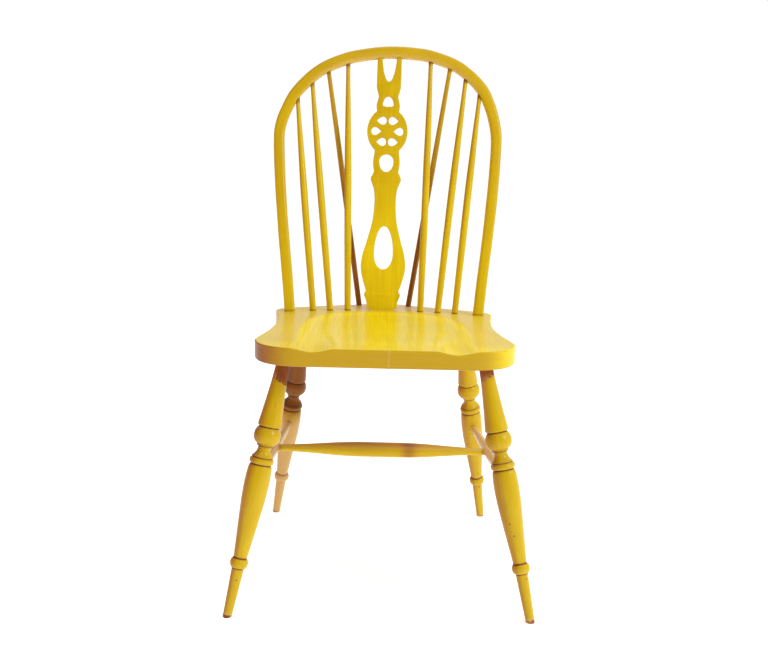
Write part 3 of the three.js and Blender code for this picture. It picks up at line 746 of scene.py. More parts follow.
class CHAIR_OT_seat(bpy.types.Operator):
    """Build the two saddled seat boards"""

    bl_idname = "chair.seat"
    bl_label = "Seat boards"

    def execute(self, context):
        finish = paint("seat_paint")
        for side_name, side in SIDES:
            self.board(context.scene.chair_sizes, side_name, side, finish)
        return {"FINISHED"}

    def board(self, sizes, side_name, side, finish):
        """Rings from the middle of the top, over the edge, down the side and in under the board.

        A ring at share s of the way out is middle + s*(outline - middle), and its height is the top less
        the saddle's drop. Over an edge the ring moves in by r*(1 - sin a) and up by r*cos a.
        """
        outline = board_outline(side, sizes.joint_gap)
        ahead = np.roll(outline, -1, 0)
        way = unit(ahead - np.roll(outline, 1, 0))
        area = np.sum(outline[:, 0] * ahead[:, 1] - ahead[:, 0] * outline[:, 1])
        normal = np.stack([way[:, 1], -way[:, 0]], 1) * np.sign(area)
        at_joint = np.abs(outline[:, 0] - BOARD_JOINT) < 0.001
        top_edge = np.where(at_joint, 0.0001, sizes.seat_edge)
        under_edge = np.where(at_joint, 0.0003, sizes.seat_under_edge)
        middle = np.array([side * 0.085 + BOARD_JOINT, 0.03])
        rim = outline - normal * top_edge[:, None]
        rim_top = SEAT_TOP - saddle_drop(*rim.T)
        high, low = rim_top - top_edge, SEAT_UNDER + under_edge
        under = outline - normal * under_edge[:, None]
        quarter = np.linspace(0, pi / 2, 7)[1:]
        rings, kinds = [], []

        def ring(kind, flat, height):
            rings.append(np.column_stack([flat, np.broadcast_to(height, OUTLINE_POINTS)]))
            kinds.append(kind)

        for share in 1 - (1 - np.linspace(0.01, 1, 64)) ** 1.25:
            flat = middle + share * (rim - middle)
            ring(TOP, flat, SEAT_TOP - saddle_drop(*flat.T))
        for angle in quarter:
            inset = (top_edge * (1 - sin(angle)))[:, None]
            ring(TOP_EDGE, outline - normal * inset, rim_top - top_edge * (1 - cos(angle)))
        for share in np.linspace(0, 1, 9)[1:]:
            ring(WALL, outline, high + (low - high) * share)
        for angle in quarter:
            inset = (under_edge * (1 - cos(angle)))[:, None]
            ring(UNDER_EDGE, outline - normal * inset, low - under_edge * sin(angle))
        for share in 1 - np.linspace(0, 0.99, 16)[1:]:
            ring(UNDER, middle + share * (under - middle), SEAT_UNDER)
        grid, kinds = np.array(rings), np.array(kinds)[:, None]

        x, y, z = grid[..., 0], grid[..., 1], grid[..., 2]
        on_top, on_wall, on_under = kinds == TOP, kinds == WALL, kinds == UNDER
        on_edge, on_lower_edge = kinds == TOP_EDGE, kinds == UNDER_EDGE
        on_side = on_edge | on_wall | on_lower_edge
        rear_rim = ease(0.186, 0.206, y) * ease(0.140, 0.090, np.abs(x)) * on_top
        rear_edge = ease(0.150, 0.215, y) * (on_edge | on_wall)
        corner = np.exp(-((np.abs(x) - 0.19) / 0.03) ** 2) * on_edge * 0.22
        joint_line = np.exp(-((x - BOARD_JOINT) / 0.0005) ** 2) * on_side * (y < 0)
        drop = SEAT_TOP - z
        flat_rim = on_top * ease(0.0009, 0.0001, drop) * ease(-0.16, -0.10, y)
        # Painted highlight: a brighter band of paint along the saddle's rim, where the dish meets the
        # border.
        saddle_rim_highlight = on_top * np.exp(-((drop - 0.0016) / 0.0011) ** 2) * ease(-0.15, -0.05, y)
        # Painted shade on the seat's left end, and a painted highlight on its right end, the side towards
        # the key light.
        shaded_left_end = ease(-0.140, -0.205, x) * ease(0.05, -0.12, y) * on_side
        lit_right_end = ease(0.150, 0.200, x) * on_side
        marks = {
            # Brighter yellow on the top than on the walls, with a painted highlight on the right end of
            # the walls and along the saddle's rim.
            "tone": np.where(on_top, 0.80, 0.02 + 0.9 * lit_right_end) - 0.25 * rear_rim - 0.30 * flat_rim
            + 0.5 * saddle_rim_highlight,
            "bare": on_edge * 0.22 + corner + on_lower_edge * 0.25 + rear_edge * 0.20,
            "pale": 0.62 * rear_rim + 0.30 * joint_line + rear_edge * 0.12 + 0.10 * flat_rim,
            # Painted shade: browner on the left end and on the left of the top; also browner on the
            # walls, the lower edge and the underside.
            "glaze_and_shade": 0.74 * shaded_left_end + on_wall * 0.10 + on_under * 0.42 + on_lower_edge * 0.25
            + on_top * 0.06 * ease(-0.08, -0.20, x),
            "dirt": on_under * 0.12,
        }
        run = np.broadcast_to(np.arange(OUTLINE_POINTS) * 0.0021, z.shape)
        wood = np.where(on_side[..., None], np.stack([z, 0 * z, run], -1), np.stack([x, z * 0.2, y], -1))
        grid_piece(f"seat_{side_name}", grid, wood, marks, finish, f"seat_board_{side_name}",
                   sharp=radians(50))


class CHAIR_OT_dowels(bpy.types.Operator):
    """Give the dowels inside the seat their wood"""

    bl_idname = "chair.dowels"
    bl_label = "Seat dowels"

    def execute(self, context):
        finish = bare_wood("dowel_wood")
        for place in ("front", "middle", "rear"):
            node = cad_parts[f"seat_dowel_{place}"]
            node.data.materials.clear()
            node.data.materials.append(finish)
        return {"FINISHED"}


class CHAIR_OT_hoop(bpy.types.Operator):
    """Build the bent hoop with its tenons through the seat"""

    bl_idname = "chair.hoop"
    bl_label = "Hoop"

    def execute(self, context):
        """A section carried along the hoop's line.

        The section is a superellipse, |x/a|^n + |y/b|^n = 1, with n = 3.2 on the bar and 2 on the round
        tenons inside the seat.
        """
        centre = evenly(hoop_line(), HOOP_ROWS)
        inside = np.nonzero(hoop_point(centre[:, 0], centre[:, 1])[:, 2] > SEAT_UNDER + 0.002)[0]
        centre = centre[inside[0] - 1:inside[-1] + 2]
        rows, turns = len(centre), 56
        way = unit(np.gradient(centre, axis=0))
        beside = np.stack([way[:, 1], -way[:, 0]], 1)
        up = centre[:, 1]
        in_seat = 1 - ease(-0.0045, -0.0025, up)
        half = hoop_half_width(up) * (1 - in_seat) + TENON / 2 * in_seat
        depth = HOOP_DEPTH / 2 * (1 - in_seat) + TENON / 2 * in_seat
        power = 2 / (3.2 * (1 - in_seat) + 2 * in_seat)
        angle = ring_angles(turns)[None, :]
        lobe, out = superellipse(angle, power[:, None])
        run = np.arange(rows)[:, None] * 0.0023
        lobe = lobe * half[:, None] * (1 + 0.010 * np.sin(run * 31) + 0.006 * np.sin(run * 77 + 1))
        out = out * depth[:, None] * (1 + 0.010 * np.sin(run * 23 + 2))
        across = centre[:, :1] + lobe * beside[:, :1]
        height = up[:, None] + lobe * beside[:, 1:]
        grid = hoop_point(across, height, out)
        along = np.column_stack([way[:, 0], way[:, 1] * sin(HOOP_TILT), way[:, 1] * cos(HOOP_TILT)])
        for row in (0, rows - 1):
            flat_end(grid, row, along[row], SEAT_UNDER - 0.0004)

        glue = np.zeros((rows, turns))
        for side in (-1, 1):
            for *_, top_x in (*STICKS.values(), BRACE):
                top = hoop_point(side * top_x, hoop_under(side * top_x))
                reach = np.linalg.norm(grid - top, axis=-1)
                glue = np.maximum(glue, np.exp(-(reach / 0.0068) ** 4))
        for prong in (-0.018, 0.018):
            top = hoop_point(SPLAT_TOP_X + prong, hoop_under(prong))
            reach = np.linalg.norm((grid - top) * (0.8, 1, 1), axis=-1)
            glue = np.maximum(glue, np.exp(-(reach / 0.0075) ** 4))
        # Painted glow: the inner side of the bar near the crown, facing the bright floor, is paler.
        inward = ease(0.2, -0.9, np.cos(angle)) * ease(0.40, 0.47, up[:, None])
        foot = np.exp(-((up[:, None] - 0.001) / 0.0022) ** 2)
        marks = {
            "tone": 0.18 + 0.42 * ease(0.30, 0.0, up[:, None]),
            "dirt": 0.55 * glue + 0.50 * foot,
            "bare": 0.30 * np.abs(np.cos(angle)) ** 8 + 0.16 * ease(0.33, 0.45, up[:, None]),
            "pale": 0.24 * inward,
            "glaze_and_shade": 0.14 * ease(0.15, 0.9, np.cos(angle)) + in_seat[:, None] * 0.5 + 0.06,
        }
        wood = np.stack([lobe, out, np.broadcast_to(run, lobe.shape)], -1)
        grid_piece("hoop", grid, wood, marks, paint("hoop_paint"), "back_hoop",
                   sharp=radians(60))
        return {"FINISHED"}


class CHAIR_OT_wedges(bpy.types.Operator):
    """Build the wedges in the ends of the hoop's tenons"""

    bl_idname = "chair.wedges"
    bl_label = "Tenon wedges"

    def execute(self, context):
        """A flat superellipse of power 8 lofted along the tenon, thinner at its upper end."""
        finish = bare_wood("wedge_wood", end_grain=True)
        line = hoop_line()
        for side_name, side in SIDES:
            foot, next_up = (line[0], line[12]) if side > 0 else (line[-1], line[-13])
            slope = (next_up[0] - foot[0]) / (next_up[1] - foot[1])
            low_up = (SEAT_UNDER - SEAT_TOP) / cos(HOOP_TILT)
            base = hoop_point(foot[0] + slope * (low_up - foot[1]), low_up)
            high = hoop_point(foot[0] + slope * (0.02 - foot[1]), 0.02)
            axis = Line(base, high)
            angle = ring_angles(40)[None, :]
            along = np.linspace(-0.0009, WEDGE_REACH, 7)[:, None]
            thick = 0.0012 - 0.0008 * ease(0.0, WEDGE_REACH, along)
            wide, slim = superellipse(angle, 2 / 8)
            wide, slim = np.broadcast_arrays(wide * WEDGE_HALF, slim * thick)
            grid = (axis.start + along[..., None] * axis.way
                    + wide[..., None] * axis.facing + slim[..., None] * axis.beside)
            wood = np.stack([wide, slim, np.broadcast_to(along, wide.shape)], -1)
            flat_end(grid, 0, axis.way, SEAT_UNDER - 0.0008)
            grid_piece(f"wedge_{side_name}", grid, wood, {}, finish, f"hoop_wedge_{side_name}",
                       sharp=radians(40))
        return {"FINISHED"}


class CHAIR_OT_splat(bpy.types.Operator):
    """Build the pierced wheel splat"""

    bl_idname = "chair.splat"
    bl_label = "Splat"

    def outline(self, rise):
        """Right half from foot to prongs, then its mirror image; drawn for a rise of 470 mm."""
        up = rise / SPLAT_DRAWN
        shoulder = 3

        def curve(*points):
            return bezier(points, 12)

        def wave(*points):
            return through(points, 10)

        wheel = np.linspace(-0.915, 1, 40)
        wheel_edge = np.column_stack([38 * np.cos(wheel), 335 + 43.5 * np.sin(wheel)])
        half = np.concatenate([
            [(0, -14.75), (23, -14.75), (23, shoulder), (29, shoulder), (29, 11)],
            curve((29, 11), (30.5, 20), (34, 26)),
            curve((34, 26), (35.3, 28), (33.5, 31)),
            wave((31, 36), (37.8, 56), (42.2, 80), (39.7, 104), (31.6, 132), (22.5, 170), (20.1, 205),
                 (22.2, 228)),
            [(28, 243)],
            curve((28, 243), (29.4, 246), (27.5, 250)),
            wave((23, 259), (25.1, 277), (23.2, 294)),
            wheel_edge,
            wave(tuple(wheel_edge[-1]), (22, 382), (20.1, 391), (18.2, 400)),
            wave((18.2, 400), (20.6, 408), (22.8, 417)),
            [(22.8, 477), (13.2, 477)],
            wave((13.2, 467), (11.5, 453), (9, 441), (4.6, 430), (0, 426.5)),
        ])
        half = half * (1, up) / 1000
        apart = np.concatenate([[True], np.linalg.norm(np.diff(half, axis=0), axis=1) > 1e-6])
        half = half[apart]
        return np.concatenate([half, half[-2:0:-1] * (-1, 1)])

    def holes(self, rise):
        """The arch, two eggs and the wheel's six teardrops, each a closed loop of Bezier curves."""
        up = rise / SPLAT_DRAWN
        loops = []

        def loop(*curves):
            loops.append(np.concatenate([bezier(curve, 12)[:-1] for curve in curves]) / 1000)

        def mirrored(*curves):
            return *curves, *([(-x, y) for x, y in reversed(curve)] for curve in reversed(curves))

        def egg(bottom, widest, top, half):
            pull = 0.56
            bottom, widest, top = bottom * up, widest * up, top * up
            lower, upper, side = (widest - bottom) * pull, (top - widest) * pull, half * pull
            loop(*mirrored([(0, bottom), (side, bottom), (half, widest - lower), (half, widest)],
                           [(half, widest), (half, widest + upper), (side, top), (0, top)]))

        def petal(x, y, pointing):
            reach, widest, half = 9.3 * pointing, -2.5 * pointing, 7.7
            y = y * up
            loop([(x + reach, y), (x + reach * 0.6, y + half * 0.5), (x - widest * 0.6, y + half),
                  (x + widest, y + half)],
                 [(x + widest, y + half), (x - reach * 0.73, y + half), (x - reach, y + half * 0.6),
                  (x - reach, y)],
                 [(x - reach, y), (x - reach, y - half * 0.6), (x - reach * 0.73, y - half),
                  (x + widest, y - half)],
                 [(x + widest, y - half), (x - widest * 0.6, y - half), (x + reach * 0.6, y - half * 0.5),
                  (x + reach, y)])

        low, shoulder, top = 380.5 * up, 385 * up, 399.5 * up
        loop(*mirrored([(0, low), (10.6, 380 * up), (10.4, shoulder)],
                       [(10.4, shoulder), (8, top), (0, top)]))
        egg(259.5, 279, 292.5, 13.4)
        egg(77, 106, 158, 17.8)
        for side in (-1, 1):
            petal(side * 20.9, 335, -side)
            petal(side * 11.3, 335 + 19.7, side)
            petal(side * 11.3, 335 - 19.7, side)
        return loops

    def execute(self, context):
        """A flat filled curve with holes, given thickness and a rounded edge, then stood in the back."""
        top = hoop_point(0, hoop_under(SPLAT_TOP_X))
        back, height = top[1] - SPLAT_FOOT_Y, top[2] - SEAT_TOP
        rise, lean = float(np.hypot(back, height)), float(np.arctan2(back, height))
        turn = -float(np.arctan2(SPLAT_TOP_X - SPLAT_FOOT_X, rise))
        edge = context.scene.chair_sizes.splat_edge
        flat = bpy.data.curves.new("splat_outline", "CURVE")
        flat.dimensions = "2D"
        flat.fill_mode = "BOTH"
        flat.extrude = SPLAT_THICK / 2 - edge
        flat.bevel_depth = edge
        flat.bevel_resolution = 2
        flat.offset = -edge
        for loop in [self.outline(rise), *self.holes(rise)]:
            spline = flat.splines.new("POLY")
            spline.points.add(len(loop) - 1)
            spline.points.foreach_set("co", np.column_stack([loop, np.zeros((len(loop), 2))]).ravel())
            spline.use_cyclic_u = True
        holder = bpy.data.objects.new("splat_outline", flat)
        bpy.context.scene.collection.objects.link(holder)
        solid = holder.evaluated_get(bpy.context.evaluated_depsgraph_get())
        mesh = bpy.data.meshes.new_from_object(solid)
        bpy.data.objects.remove(holder)
        self.slice(mesh, rise)

        plain = np.zeros(len(mesh.vertices) * 3, np.float32)
        mesh.vertices.foreach_get("co", plain)
        x, y, out = plain.reshape(-1, 3).T.astype(float)
        faces = [tuple(polygon.vertices) for polygon in mesh.polygons]
        across = x * cos(turn) - y * sin(turn)
        up = x * sin(turn) + y * cos(turn)
        points = np.column_stack([
            SPLAT_FOOT_X + across,
            SPLAT_FOOT_Y + up * sin(lean) - out * cos(lean),
            SEAT_TOP + up * cos(lean) + out * sin(lean),
        ])
        wall = ease(SPLAT_THICK / 2 - 0.0002, SPLAT_THICK / 2 - 0.0008, np.abs(out))
        marks = {
            # Painted bounce light: the splat is brighter yellow near its foot, above the bright seat.
            "tone": 0.22 + 0.80 * ease(0.28, 0.08, y),
            "bare": 0.30 * wall,
            "glaze_and_shade": 0.30 * wall,
            "dirt": 0.35 * np.exp(-((y - 0.002) / 0.003) ** 2) + 0.5 * ease(rise - 0.004, rise, y),
            "pale": 0.10 * wall,
        }
        wood = np.column_stack([x, out, y])
        bpy.data.meshes.remove(mesh)
        shoulder_chip = (0.0265, 0.219 + SHIFT, SEAT_TOP + 0.243)
        finish = paint("splat_paint", [shoulder_chip])
        new_piece("splat", points, faces, wood, marks, finish, "back_splat",
                  sharp=radians(35))
        return {"FINISHED"}

    def slice(self, mesh, rise):
        """Cuts the faces across at even heights, so that marks can change along the splat."""
        work = bmesh.new()
        work.from_mesh(mesh)
        bmesh.ops.remove_doubles(work, verts=work.verts, dist=0.00001)
        for height in np.linspace(0, rise, 60)[1:-1]:
            everything = [*work.verts, *work.edges, *work.faces]
            bmesh.ops.bisect_plane(work, geom=everything, dist=0.000001,
                                   plane_co=(0, height, 0), plane_no=(0, 1, 0))
        work.to_mesh(mesh)
        work.free()


def stick_rows(line, foot, swell):
    """Rows of a spindle or a brace: from the foot to the swell in millimetres, then 8 mm in the hoop."""
    length = line.length * 1000
    return profile([[
        (-9, foot), (0, foot), (0.18 * length, (foot + swell) / 2), (0.34 * length, swell),
        (0.55 * length, swell), (0.8 * length, (swell + 8) / 2), (0.98 * length, 8), (length + 7, 8),
    ]], 2.4)


class CHAIR_OT_spindles(bpy.types.Operator):
    """Build the six spindles"""

    bl_idname = "chair.spindles"
    bl_label = "Spindles"

    def execute(self, context):
        """Turned sticks: 12 mm at the foot, 13.3 mm at the swell and 8 mm in the hoop."""
        finish = paint("spindle_paint")
        bow = context.scene.chair_sizes.stick_bow
        for first, (side_name, side) in enumerate(SIDES):
            for number, (place, (foot_x, foot_y, top_x)) in enumerate(STICKS.items()):
                line = stick_line(side, foot_x, foot_y, top_x)
                rows = stick_rows(line, 12, 13.3)
                points, wood, angle = lathe(line, rows, "spindle", 7 * first + number, bow)
                height = rows[:, :1]
                # Painted shade: each spindle is browner on its left side, away from the key light.
                left = ease(0.15, 0.95, -np.cos(angle) * np.sign(line.beside[0]))
                foot = np.exp(-((height - 0.0006) / 0.0022) ** 2)
                collar = ease(line.length - 0.010, line.length - 0.001, height)
                marks = {
                    "tone": 0.55 - 0.30 * ease(0.10, 0.40, height),
                    "dirt": 0.60 * foot + 0.50 * collar,
                    "bare": 0.14 + 0.12 * ease(0.3, 0.45, height),
                    "glaze_and_shade": 0.06 + 0.35 * collar + 0.42 * left * ease(0.05, 0.20, height),
                }
                name = f"spindle_{side_name}_{place}"
                grid_piece(f"{name}_turned", points, wood, marks, finish, name)
        return {"FINISHED"}


class CHAIR_OT_braces(bpy.types.Operator):
    """Build the two braces behind the back"""

    bl_idname = "chair.braces"
    bl_label = "Braces"

    def execute(self, context):
        """Turned sticks from the tail to the hoop, 10.5 mm to 8 mm, browner on their lower part, where
        the right brace keeps a painted highlight on its right edge.
        """
        finish = paint("brace_paint")
        for number, (side_name, side) in enumerate(SIDES):
            line = stick_line(side, *BRACE)
            rows = stick_rows(line, 10.5, 10.5)
            bow = context.scene.chair_sizes.stick_bow
            points, wood, angle = lathe(line, rows, "brace", number, bow)
            height = rows[:, :1]
            lower = 1 - ease(0.19, 0.34, height)
            # Painted highlight: the right brace's right edge stays golden over its brown lower part.
            rightward = ease(0.0, 0.9, np.cos(angle) * line.beside[0])
            shade = lower * (0.95 if side < 0 else 1 - 0.5 * rightward)
            collar = ease(line.length - 0.010, line.length - 0.001, height)
            marks = {
                "tone": 0.15,
                "glaze_and_shade": 0.28 + 0.52 * shade,
                "dirt": 0.06 * lower + 0.5 * collar,
                "bare": 0.10,
            }
            grid_piece(f"brace_{side_name}_turned", points, wood, marks, finish,
                       f"brace_spindle_{side_name}")
        return {"FINISHED"}


def leg_profile(length):
    """Rows of a leg from foot to tenon: each bead and hollow is its own smooth segment.

    The tables give heights and diameters in millimetres. Only the upper cone stretches with the leg.
    """
    stretch = (length - 319) / (424 - 319)

    def cone(place):
        return 319 + (place - 319) * stretch

    parts = (
        (LEG_FINE, [
            [(3, 14.6), (27, 16.4), (52, 18), (80, 20.0)],
            [(80, 20.0), (81, 23.2), (83.5, 26.9), (86.2, 28.7), (89, 29.2), (91.6, 28.7), (94, 26.9),
             (96, 23.9), (97, 21.8)],
        ]),
        (LEG_COARSE, [
            [(97, 21.8), (124, 26.6), (149, 31.2), (174, 35.6), (199, 39.4), (222, 40.6), (238, 39.6),
             (246, 37.8), (249, 36.2)],
        ]),
        (LEG_FINE, [
            [(249, 36.2), (250.3, 33.4), (251.6, 33.4)],
            [(251.6, 33.4), (252.6, 36.9), (254.2, 38.9), (256.4, 39.6), (258.6, 38.9), (260.3, 36.9),
             (261.2, 33.6)],
            [(261.2, 33.6), (262.0, 34.4), (263.4, 34.6), (264.6, 33.6)],
            [(264.6, 33.6), (265.2, 31.6), (267.4, 28.0), (270.4, 24.4), (274, 21.8), (277.5, 21.0),
             (280.2, 21.8)],
            [(280.2, 21.8), (280.9, 26.4), (281.7, 27.4), (284.3, 27.8)],
            [(284.3, 27.8), (284.9, 31.0), (287, 36.2), (290.4, 40.6), (294.2, 42.8), (298, 43.3),
             (302, 42.6), (306, 40.0), (309.6, 36.0), (311.4, 33.0)],
            [(311.4, 33.0), (312.7, 32.8)],
            [(312.7, 32.8), (313.6, 36.4), (315.2, 37.8), (319, 37.3)],
        ]),
        (LEG_COARSE, [
            [(319, 37.3), (cone(340), 33), (cone(365), 28.4), (cone(390), 24.6), (length - 12, 22.6),
             (length + 12, 22.6)],
        ]),
    )
    *lower, upper = [profile(segments, spacing) for spacing, segments in parts]
    return np.concatenate([*(rows[:-1] for rows in lower), upper])


class CHAIR_OT_legs(bpy.types.Operator):
    """Build the four turned legs"""

    bl_idname = "chair.legs"
    bl_label = "Legs"

    def execute(self, context):
        finish = paint("leg_paint", self.chips())
        for number, (side_name, side) in enumerate(SIDES):
            self.leg("front", side_name, side, leg_line(side, FRONT_FOOT, FRONT_TOP), number, finish)
            self.leg("rear", side_name, side, leg_line(side, REAR_FOOT, REAR_TOP), number, finish)
        return {"FINISHED"}

    def chips(self):
        """Small dark chips: a leg, a distance up it and an angle from +X round towards the front."""
        places = (
            (1, False, 0.112, -1.35), (1, False, 0.075, -1.25), (-1, True, 0.062, -1.3),
            (1, True, 0.145, -1.75), (1, True, 0.165, -1.95), (1, True, 0.072, -1.0),
        )
        spots = []
        for side, front, distance, angle in places:
            line = leg_line(side, *((FRONT_FOOT, FRONT_TOP) if front else (REAR_FOOT, REAR_TOP)))
            rows = leg_profile(line.length * 1000)
            radius = float(np.interp(distance, rows[:, 0], rows[:, 1]))
            across = radius * cos(angle) * np.sign(line.beside[0])
            spot = line.at(distance) + across * line.beside
            spot = spot + radius * sin(angle) * np.sign(line.facing[1]) * line.facing
            spots.append((spot[0], spot[1] + SHIFT, spot[2]))
        return spots

    def leg(self, end, side_name, side, line, number, finish):
        """A turned leg, cut level at the floor.

        Hollows are where the radius falls under its own running mean: dirt lies there. The paint has gone
        in a ragged band under the seat, deeper on the side that faces into the chair.
        """
        rows = leg_profile(line.length * 1000)
        foot = rows[0, 1]
        rows = np.concatenate([[(0.0, foot * 0.90), (0.0009, foot * 0.985)], rows])
        points, wood, angle = lathe(line, rows, f"{end}_leg", number, LEG_BOW)
        flat_end(points, 0, line.way, 0.0)
        flat_end(points, 1, line.way, 0.0011)

        even = np.linspace(rows[0, 0], rows[-1, 0], 900)
        radius = np.interp(even, rows[:, 0], rows[:, 1])
        window = np.hanning(27) / np.hanning(27).sum()
        mean = np.convolve(np.pad(radius, 13, "edge"), window, "valid")
        hollow = np.interp(rows[:, 0], even, mean - radius)[:, None]
        distance = rows[:, :1]
        inward = -side * np.cos(angle) * np.sign(line.beside[0])
        below_seat = line.length - distance
        if end == "front":
            band = (0.037 if side < 0 else 0.0255) + (0.006 if side < 0 else 0.003) * inward
        else:
            band = 0.010 + 0.002 * inward
        top_bare = 0.53 + (band - below_seat) / 0.020
        top_bare = np.where(below_seat < 0.060, top_bare, 0)
        chipped = 0.5 + (0.0042 - distance) / 0.010
        creases = (0.0802, 0.0970, 0.2510, 0.2625, 0.2812, 0.3121)
        crease = sum(np.exp(-((distance - place) / 0.0010) ** 2) for place in creases)
        beads = np.exp(-((distance - 0.089) / 0.004) ** 2) + np.exp(-((distance - 0.257) / 0.004) ** 2)
        # Painted shade: each leg is browner on its left side, away from the key light.
        left = ease(0.10, 0.95, -np.cos(angle) * np.sign(line.beside[0]))
        brown = 0.08 + (0.54 if side < 0 else 0.46) * left
        tan = 0.0
        # The rear left leg is browner all over, and browner still on its front from the upper ring up,
        # with tan on its front below that; its left side has painted shade too.
        if end == "rear" and side < 0:
            front = ease(-0.9, 0.3, -np.sin(angle) * np.sign(line.facing[1]))
            brown = 0.30 + (0.46 * ease(0.235, 0.262, distance) + 0.06) * front + 0.14 * left
            tan = 0.42 * front * ease(0.250, 0.215, distance)
        marks = {
            "tone": 0.26,
            "dirt": np.maximum(ease(0.0004, 0.0022, hollow) * 0.95, 0.50 * crease),
            "bare": np.maximum(np.maximum(top_bare, chipped * (distance < 0.02)), 0.12 + 0.20 * beads),
            "glaze_and_shade": brown + 0.20 * ease(0.0002, 0.0012, hollow) + 0.70 * crease,
            "pale": np.maximum(tan, 0.30 * ease(0.010, 0.003, distance)),
        }
        name = f"leg_{end}_{side_name}"
        grid_piece(f"{name}_turned", points, wood, marks, finish, name)


def swell(length, end, middle, shares):
    """A stretcher's rows: a monotone cubic up to the middle and its mirror image."""
    rising = [(place * length, end + (middle - end) * share) for place, share in shares]
    falling = [(length - place, size) for place, size in reversed(rising)]
    return profile([[(-2, end), (0, end), *rising, *falling, (length, end), (length + 2, end)]], 2.6)


class CHAIR_OT_side_stretchers(bpy.types.Operator):
    """Build the two stretchers between front and rear legs"""

    bl_idname = "chair.side_stretchers"
    bl_label = "Side stretchers"

    def execute(self, context):
        """Slender swelling stretchers, 13 mm at the ends and 18 mm at the middle."""
        finish = paint("side_stretcher_paint")
        shares = [(0.08, 0.05), (0.2, 0.45), (0.35, 0.9), (0.45, 1)]
        for number, (side_name, side) in enumerate(SIDES):
            whole = side_stretcher_line(side)
            line = Line(whole.at(0.006), whole.at(whole.length - 0.006))
            rows = swell(line.length * 1000, 13, 18, shares)
            points, wood, angle = lathe(line, rows, "side_stretcher", number, STRETCHER_BOW)
            upward, inward = line.outward(angle, 2), -side * line.outward(angle, 0)
            marks = {
                "tone": 0.35,
                "pale": 0.64 * ease(-0.2, 0.6, upward + 0.3 * inward),
                "glaze_and_shade": 0.12 + 0.68 * ease(0.2, -0.55, upward),
                "bare": 0.20,
                "dirt": 0.45 * line.ends(rows[:, :1], 0.014, 0.004),
            }
            name = f"side_stretcher_{side_name}"
            grid_piece(f"{name}_turned", points, wood, marks, finish, name)
        return {"FINISHED"}


class CHAIR_OT_cross_stretcher(bpy.types.Operator):
    """Build the swelling stretcher across the chair"""

    bl_idname = "chair.cross_stretcher"
    bl_label = "Cross stretcher"

    def execute(self, context):
        """A turned stretcher, 12 mm at the ends and 26.6 mm in the middle, rubbed brown on top."""
        sides = side_stretcher_line(-1), side_stretcher_line(1)
        line = Line(*(side.at(side.length * CROSSING) for side in sides))
        shares = [(0.04, 0), (0.085, 0.08), (0.17, 0.33), (0.24, 0.6), (0.3, 0.82), (0.38, 0.97),
                  (0.46, 1)]
        rows = swell(line.length * 1000, 12, 26.6, shares)
        rows = rows[(rows[:, 0] > 0.003) & (rows[:, 0] < line.length - 0.003)]
        points, wood, angle = lathe(line, rows, "cross_stretcher", 0, STRETCHER_BOW)
        upward, forward = line.outward(angle, 2), -line.outward(angle, 1)
        across = line.start[0] + rows[:, :1] * line.way[0]
        tread = ease(0.40, 0.9, upward) * ease(0.15, 0.04, np.abs(across))
        smudge = np.exp(-((across - 0.048) / 0.014) ** 2) * ease(-0.9, 0.6, forward)
        marks = {
            "tone": 0.40,
            "glaze_and_shade": 0.40 * tread + 0.48 * smudge + 0.10,
            "bare": 0.22 + 0.22 * tread,
            "pale": 0.25 * ease(0.1, 0.7, upward),
            "dirt": 0.35 * line.ends(rows[:, :1], 0.011, 0.003),
        }
        grid_piece("cross_stretcher_turned", points, wood, marks, paint("cross_stretcher_paint"),
                   "cross_stretcher")
        return {"FINISHED"}


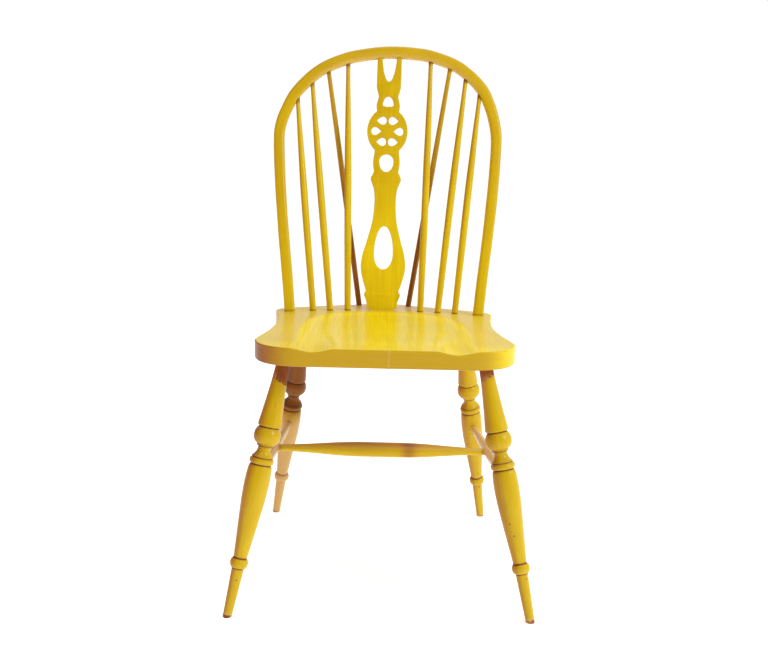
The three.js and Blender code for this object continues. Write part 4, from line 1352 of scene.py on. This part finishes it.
class CHAIR_OT_stage(bpy.types.Operator):
    """Set the floor, the light and the camera"""

    bl_idname = "chair.stage"
    bl_label = "Stage"

    def execute(self, context):
        self.floor()
        self.sky(context.scene)
        self.lights(context.scene.chair_stage)
        self.camera(context.scene)
        context.scene.view_settings.view_transform = "Standard"
        return {"FINISHED"}

    def floor(self):
        """A level square grid just under the feet."""
        reach = np.linspace(-FLOOR_HALF, FLOOR_HALF, 7)
        x, y = np.meshgrid(reach, reach)
        points = np.column_stack([x.ravel(), y.ravel(), np.full(x.size, -0.0002)])
        number = np.arange(x.size).reshape(x.shape)
        corners = number[:-1, :-1], number[:-1, 1:], number[1:, 1:], number[1:, :-1]
        faces = np.stack(corners, -1).reshape(-1, 4)
        mesh = bpy.data.meshes.new("floor")
        mesh.from_pydata(points, [], faces.tolist())
        kit = Finish("floor_white")
        shade = kit.mix(kit.noise(kit.place, 3.0), (0.90, 0.90, 0.90, 1), (0.93, 0.93, 0.93, 1))
        glow = {"Emission Color": (1, 1, 1, 1), "Emission Strength": 0.5}
        mesh.materials.append(kit.surface(shade, 0.8, kit.noise(kit.place, 40.0), 0.0001, glow))
        piece = bpy.data.objects.new("floor", mesh)
        bpy.context.scene.collection.objects.link(piece)

    def sky(self, scene):
        """White to the camera; as light, brighter from behind and above than from below and in front."""
        world = bpy.data.worlds.new("studio")
        scene.world = world
        kit = Kit(world)
        way = kit.node("ShaderNodeTexCoord")["Generated"]
        settings = {"operation": "DOT_PRODUCT"}
        towards = kit.node("ShaderNodeVectorMath", settings, {0: way, 1: BRIGHT_SKY})["Value"]
        colour = kit.mix(towards.mapped(-0.16, 0.48), (0.15, 0.095, 0.045, 1), (1, 1, 1, 1))
        sky = {"Color": colour, "Strength": scene.chair_stage.sky}
        light = kit.node("ShaderNodeBackground", None, sky)["Background"]
        backdrop = kit.node("ShaderNodeBackground", None, {"Color": (1, 1, 1, 1), "Strength": 1.05})
        seen = kit.node("ShaderNodeLightPath")["Is Camera Ray"]
        shown = kit.node("ShaderNodeMixShader", None, {0: seen, 1: light, 2: backdrop["Background"]})
        kit.node("ShaderNodeOutputWorld", None, {"Surface": shown["Shader"]})

    def lights(self, stage):
        """A large soft key at the front right and a weak warm light at the left."""
        powers = {"key": stage.key_power, "warm": stage.warm_power, "top": stage.top_power}
        for name, (place, size, colour) in LAMPS.items():
            lamp = bpy.data.lights.new(name, "AREA")
            lamp.energy = powers[name]
            lamp.size = size
            lamp.color = colour
            holder = bpy.data.objects.new(name, lamp)
            bpy.context.scene.collection.objects.link(holder)
            holder.location = place
            aim = Vector(LIT_PLACE) - Vector(place)
            holder.rotation_euler = aim.to_track_quat("-Z", "Y").to_euler()

    def camera(self, scene):
        """The camera stands in front, a little above the back, and looks slightly down."""
        lens = bpy.data.cameras.new("camera")
        lens.lens = scene.chair_stage.lens
        lens.sensor_width = 36.0
        camera = bpy.data.objects.new("camera", lens)
        scene.collection.objects.link(camera)
        yaw, pitch, roll = CAMERA_TURN
        turn = (Matrix.Rotation(yaw, 3, "Z") @ Matrix.Rotation(pitch, 3, "X")
                @ Matrix.Rotation(roll, 3, "Y"))
        right, forward, up = turn.col
        pose = Matrix((right, up, -forward)).transposed().to_4x4()
        across, back, height = CAMERA_PLACE
        pose.translation = (across, back + SHIFT, height)
        camera.matrix_world = pose
        scene.camera = camera


class CHAIR_PT_panel(bpy.types.Panel):
    """Lists the chair's pieces in the sidebar"""

    bl_label = "Chair"
    bl_idname = "CHAIR_PT_panel"
    bl_space_type = "VIEW_3D"
    bl_region_type = "UI"
    bl_category = "Chair"

    def draw(self, context):
        for operator in OPERATORS:
            self.layout.operator(operator.bl_idname)
        for group in (context.scene.chair_sizes, context.scene.chair_colours, context.scene.chair_stage):
            column = self.layout.column()
            for name in group.__annotations__:
                column.prop(group, name)


GROUPS = {"chair_colours": ChairColours, "chair_sizes": ChairSizes, "chair_stage": ChairStage}
OPERATORS = (
    CHAIR_OT_seat, CHAIR_OT_dowels, CHAIR_OT_hoop, CHAIR_OT_wedges, CHAIR_OT_splat, CHAIR_OT_spindles,
    CHAIR_OT_braces, CHAIR_OT_legs, CHAIR_OT_side_stretchers, CHAIR_OT_cross_stretcher, CHAIR_OT_stage,
)


def register():
    for group in (*GROUPS.values(), *OPERATORS, CHAIR_PT_panel):
        bpy.utils.register_class(group)
    for name, group in GROUPS.items():
        setattr(bpy.types.Scene, name, bpy.props.PointerProperty(type=group))


def unregister():
    for name in GROUPS:
        delattr(bpy.types.Scene, name)
    for group in (CHAIR_PT_panel, *reversed(OPERATORS), *reversed(GROUPS.values())):
        bpy.utils.unregister_class(group)


def main():
    """Builds every piece and the stage."""
    register()
    for operator in OPERATORS:
        family, name = operator.bl_idname.split(".")
        getattr(getattr(bpy.ops, family), name)()


if __name__ == "__main__":
    main()
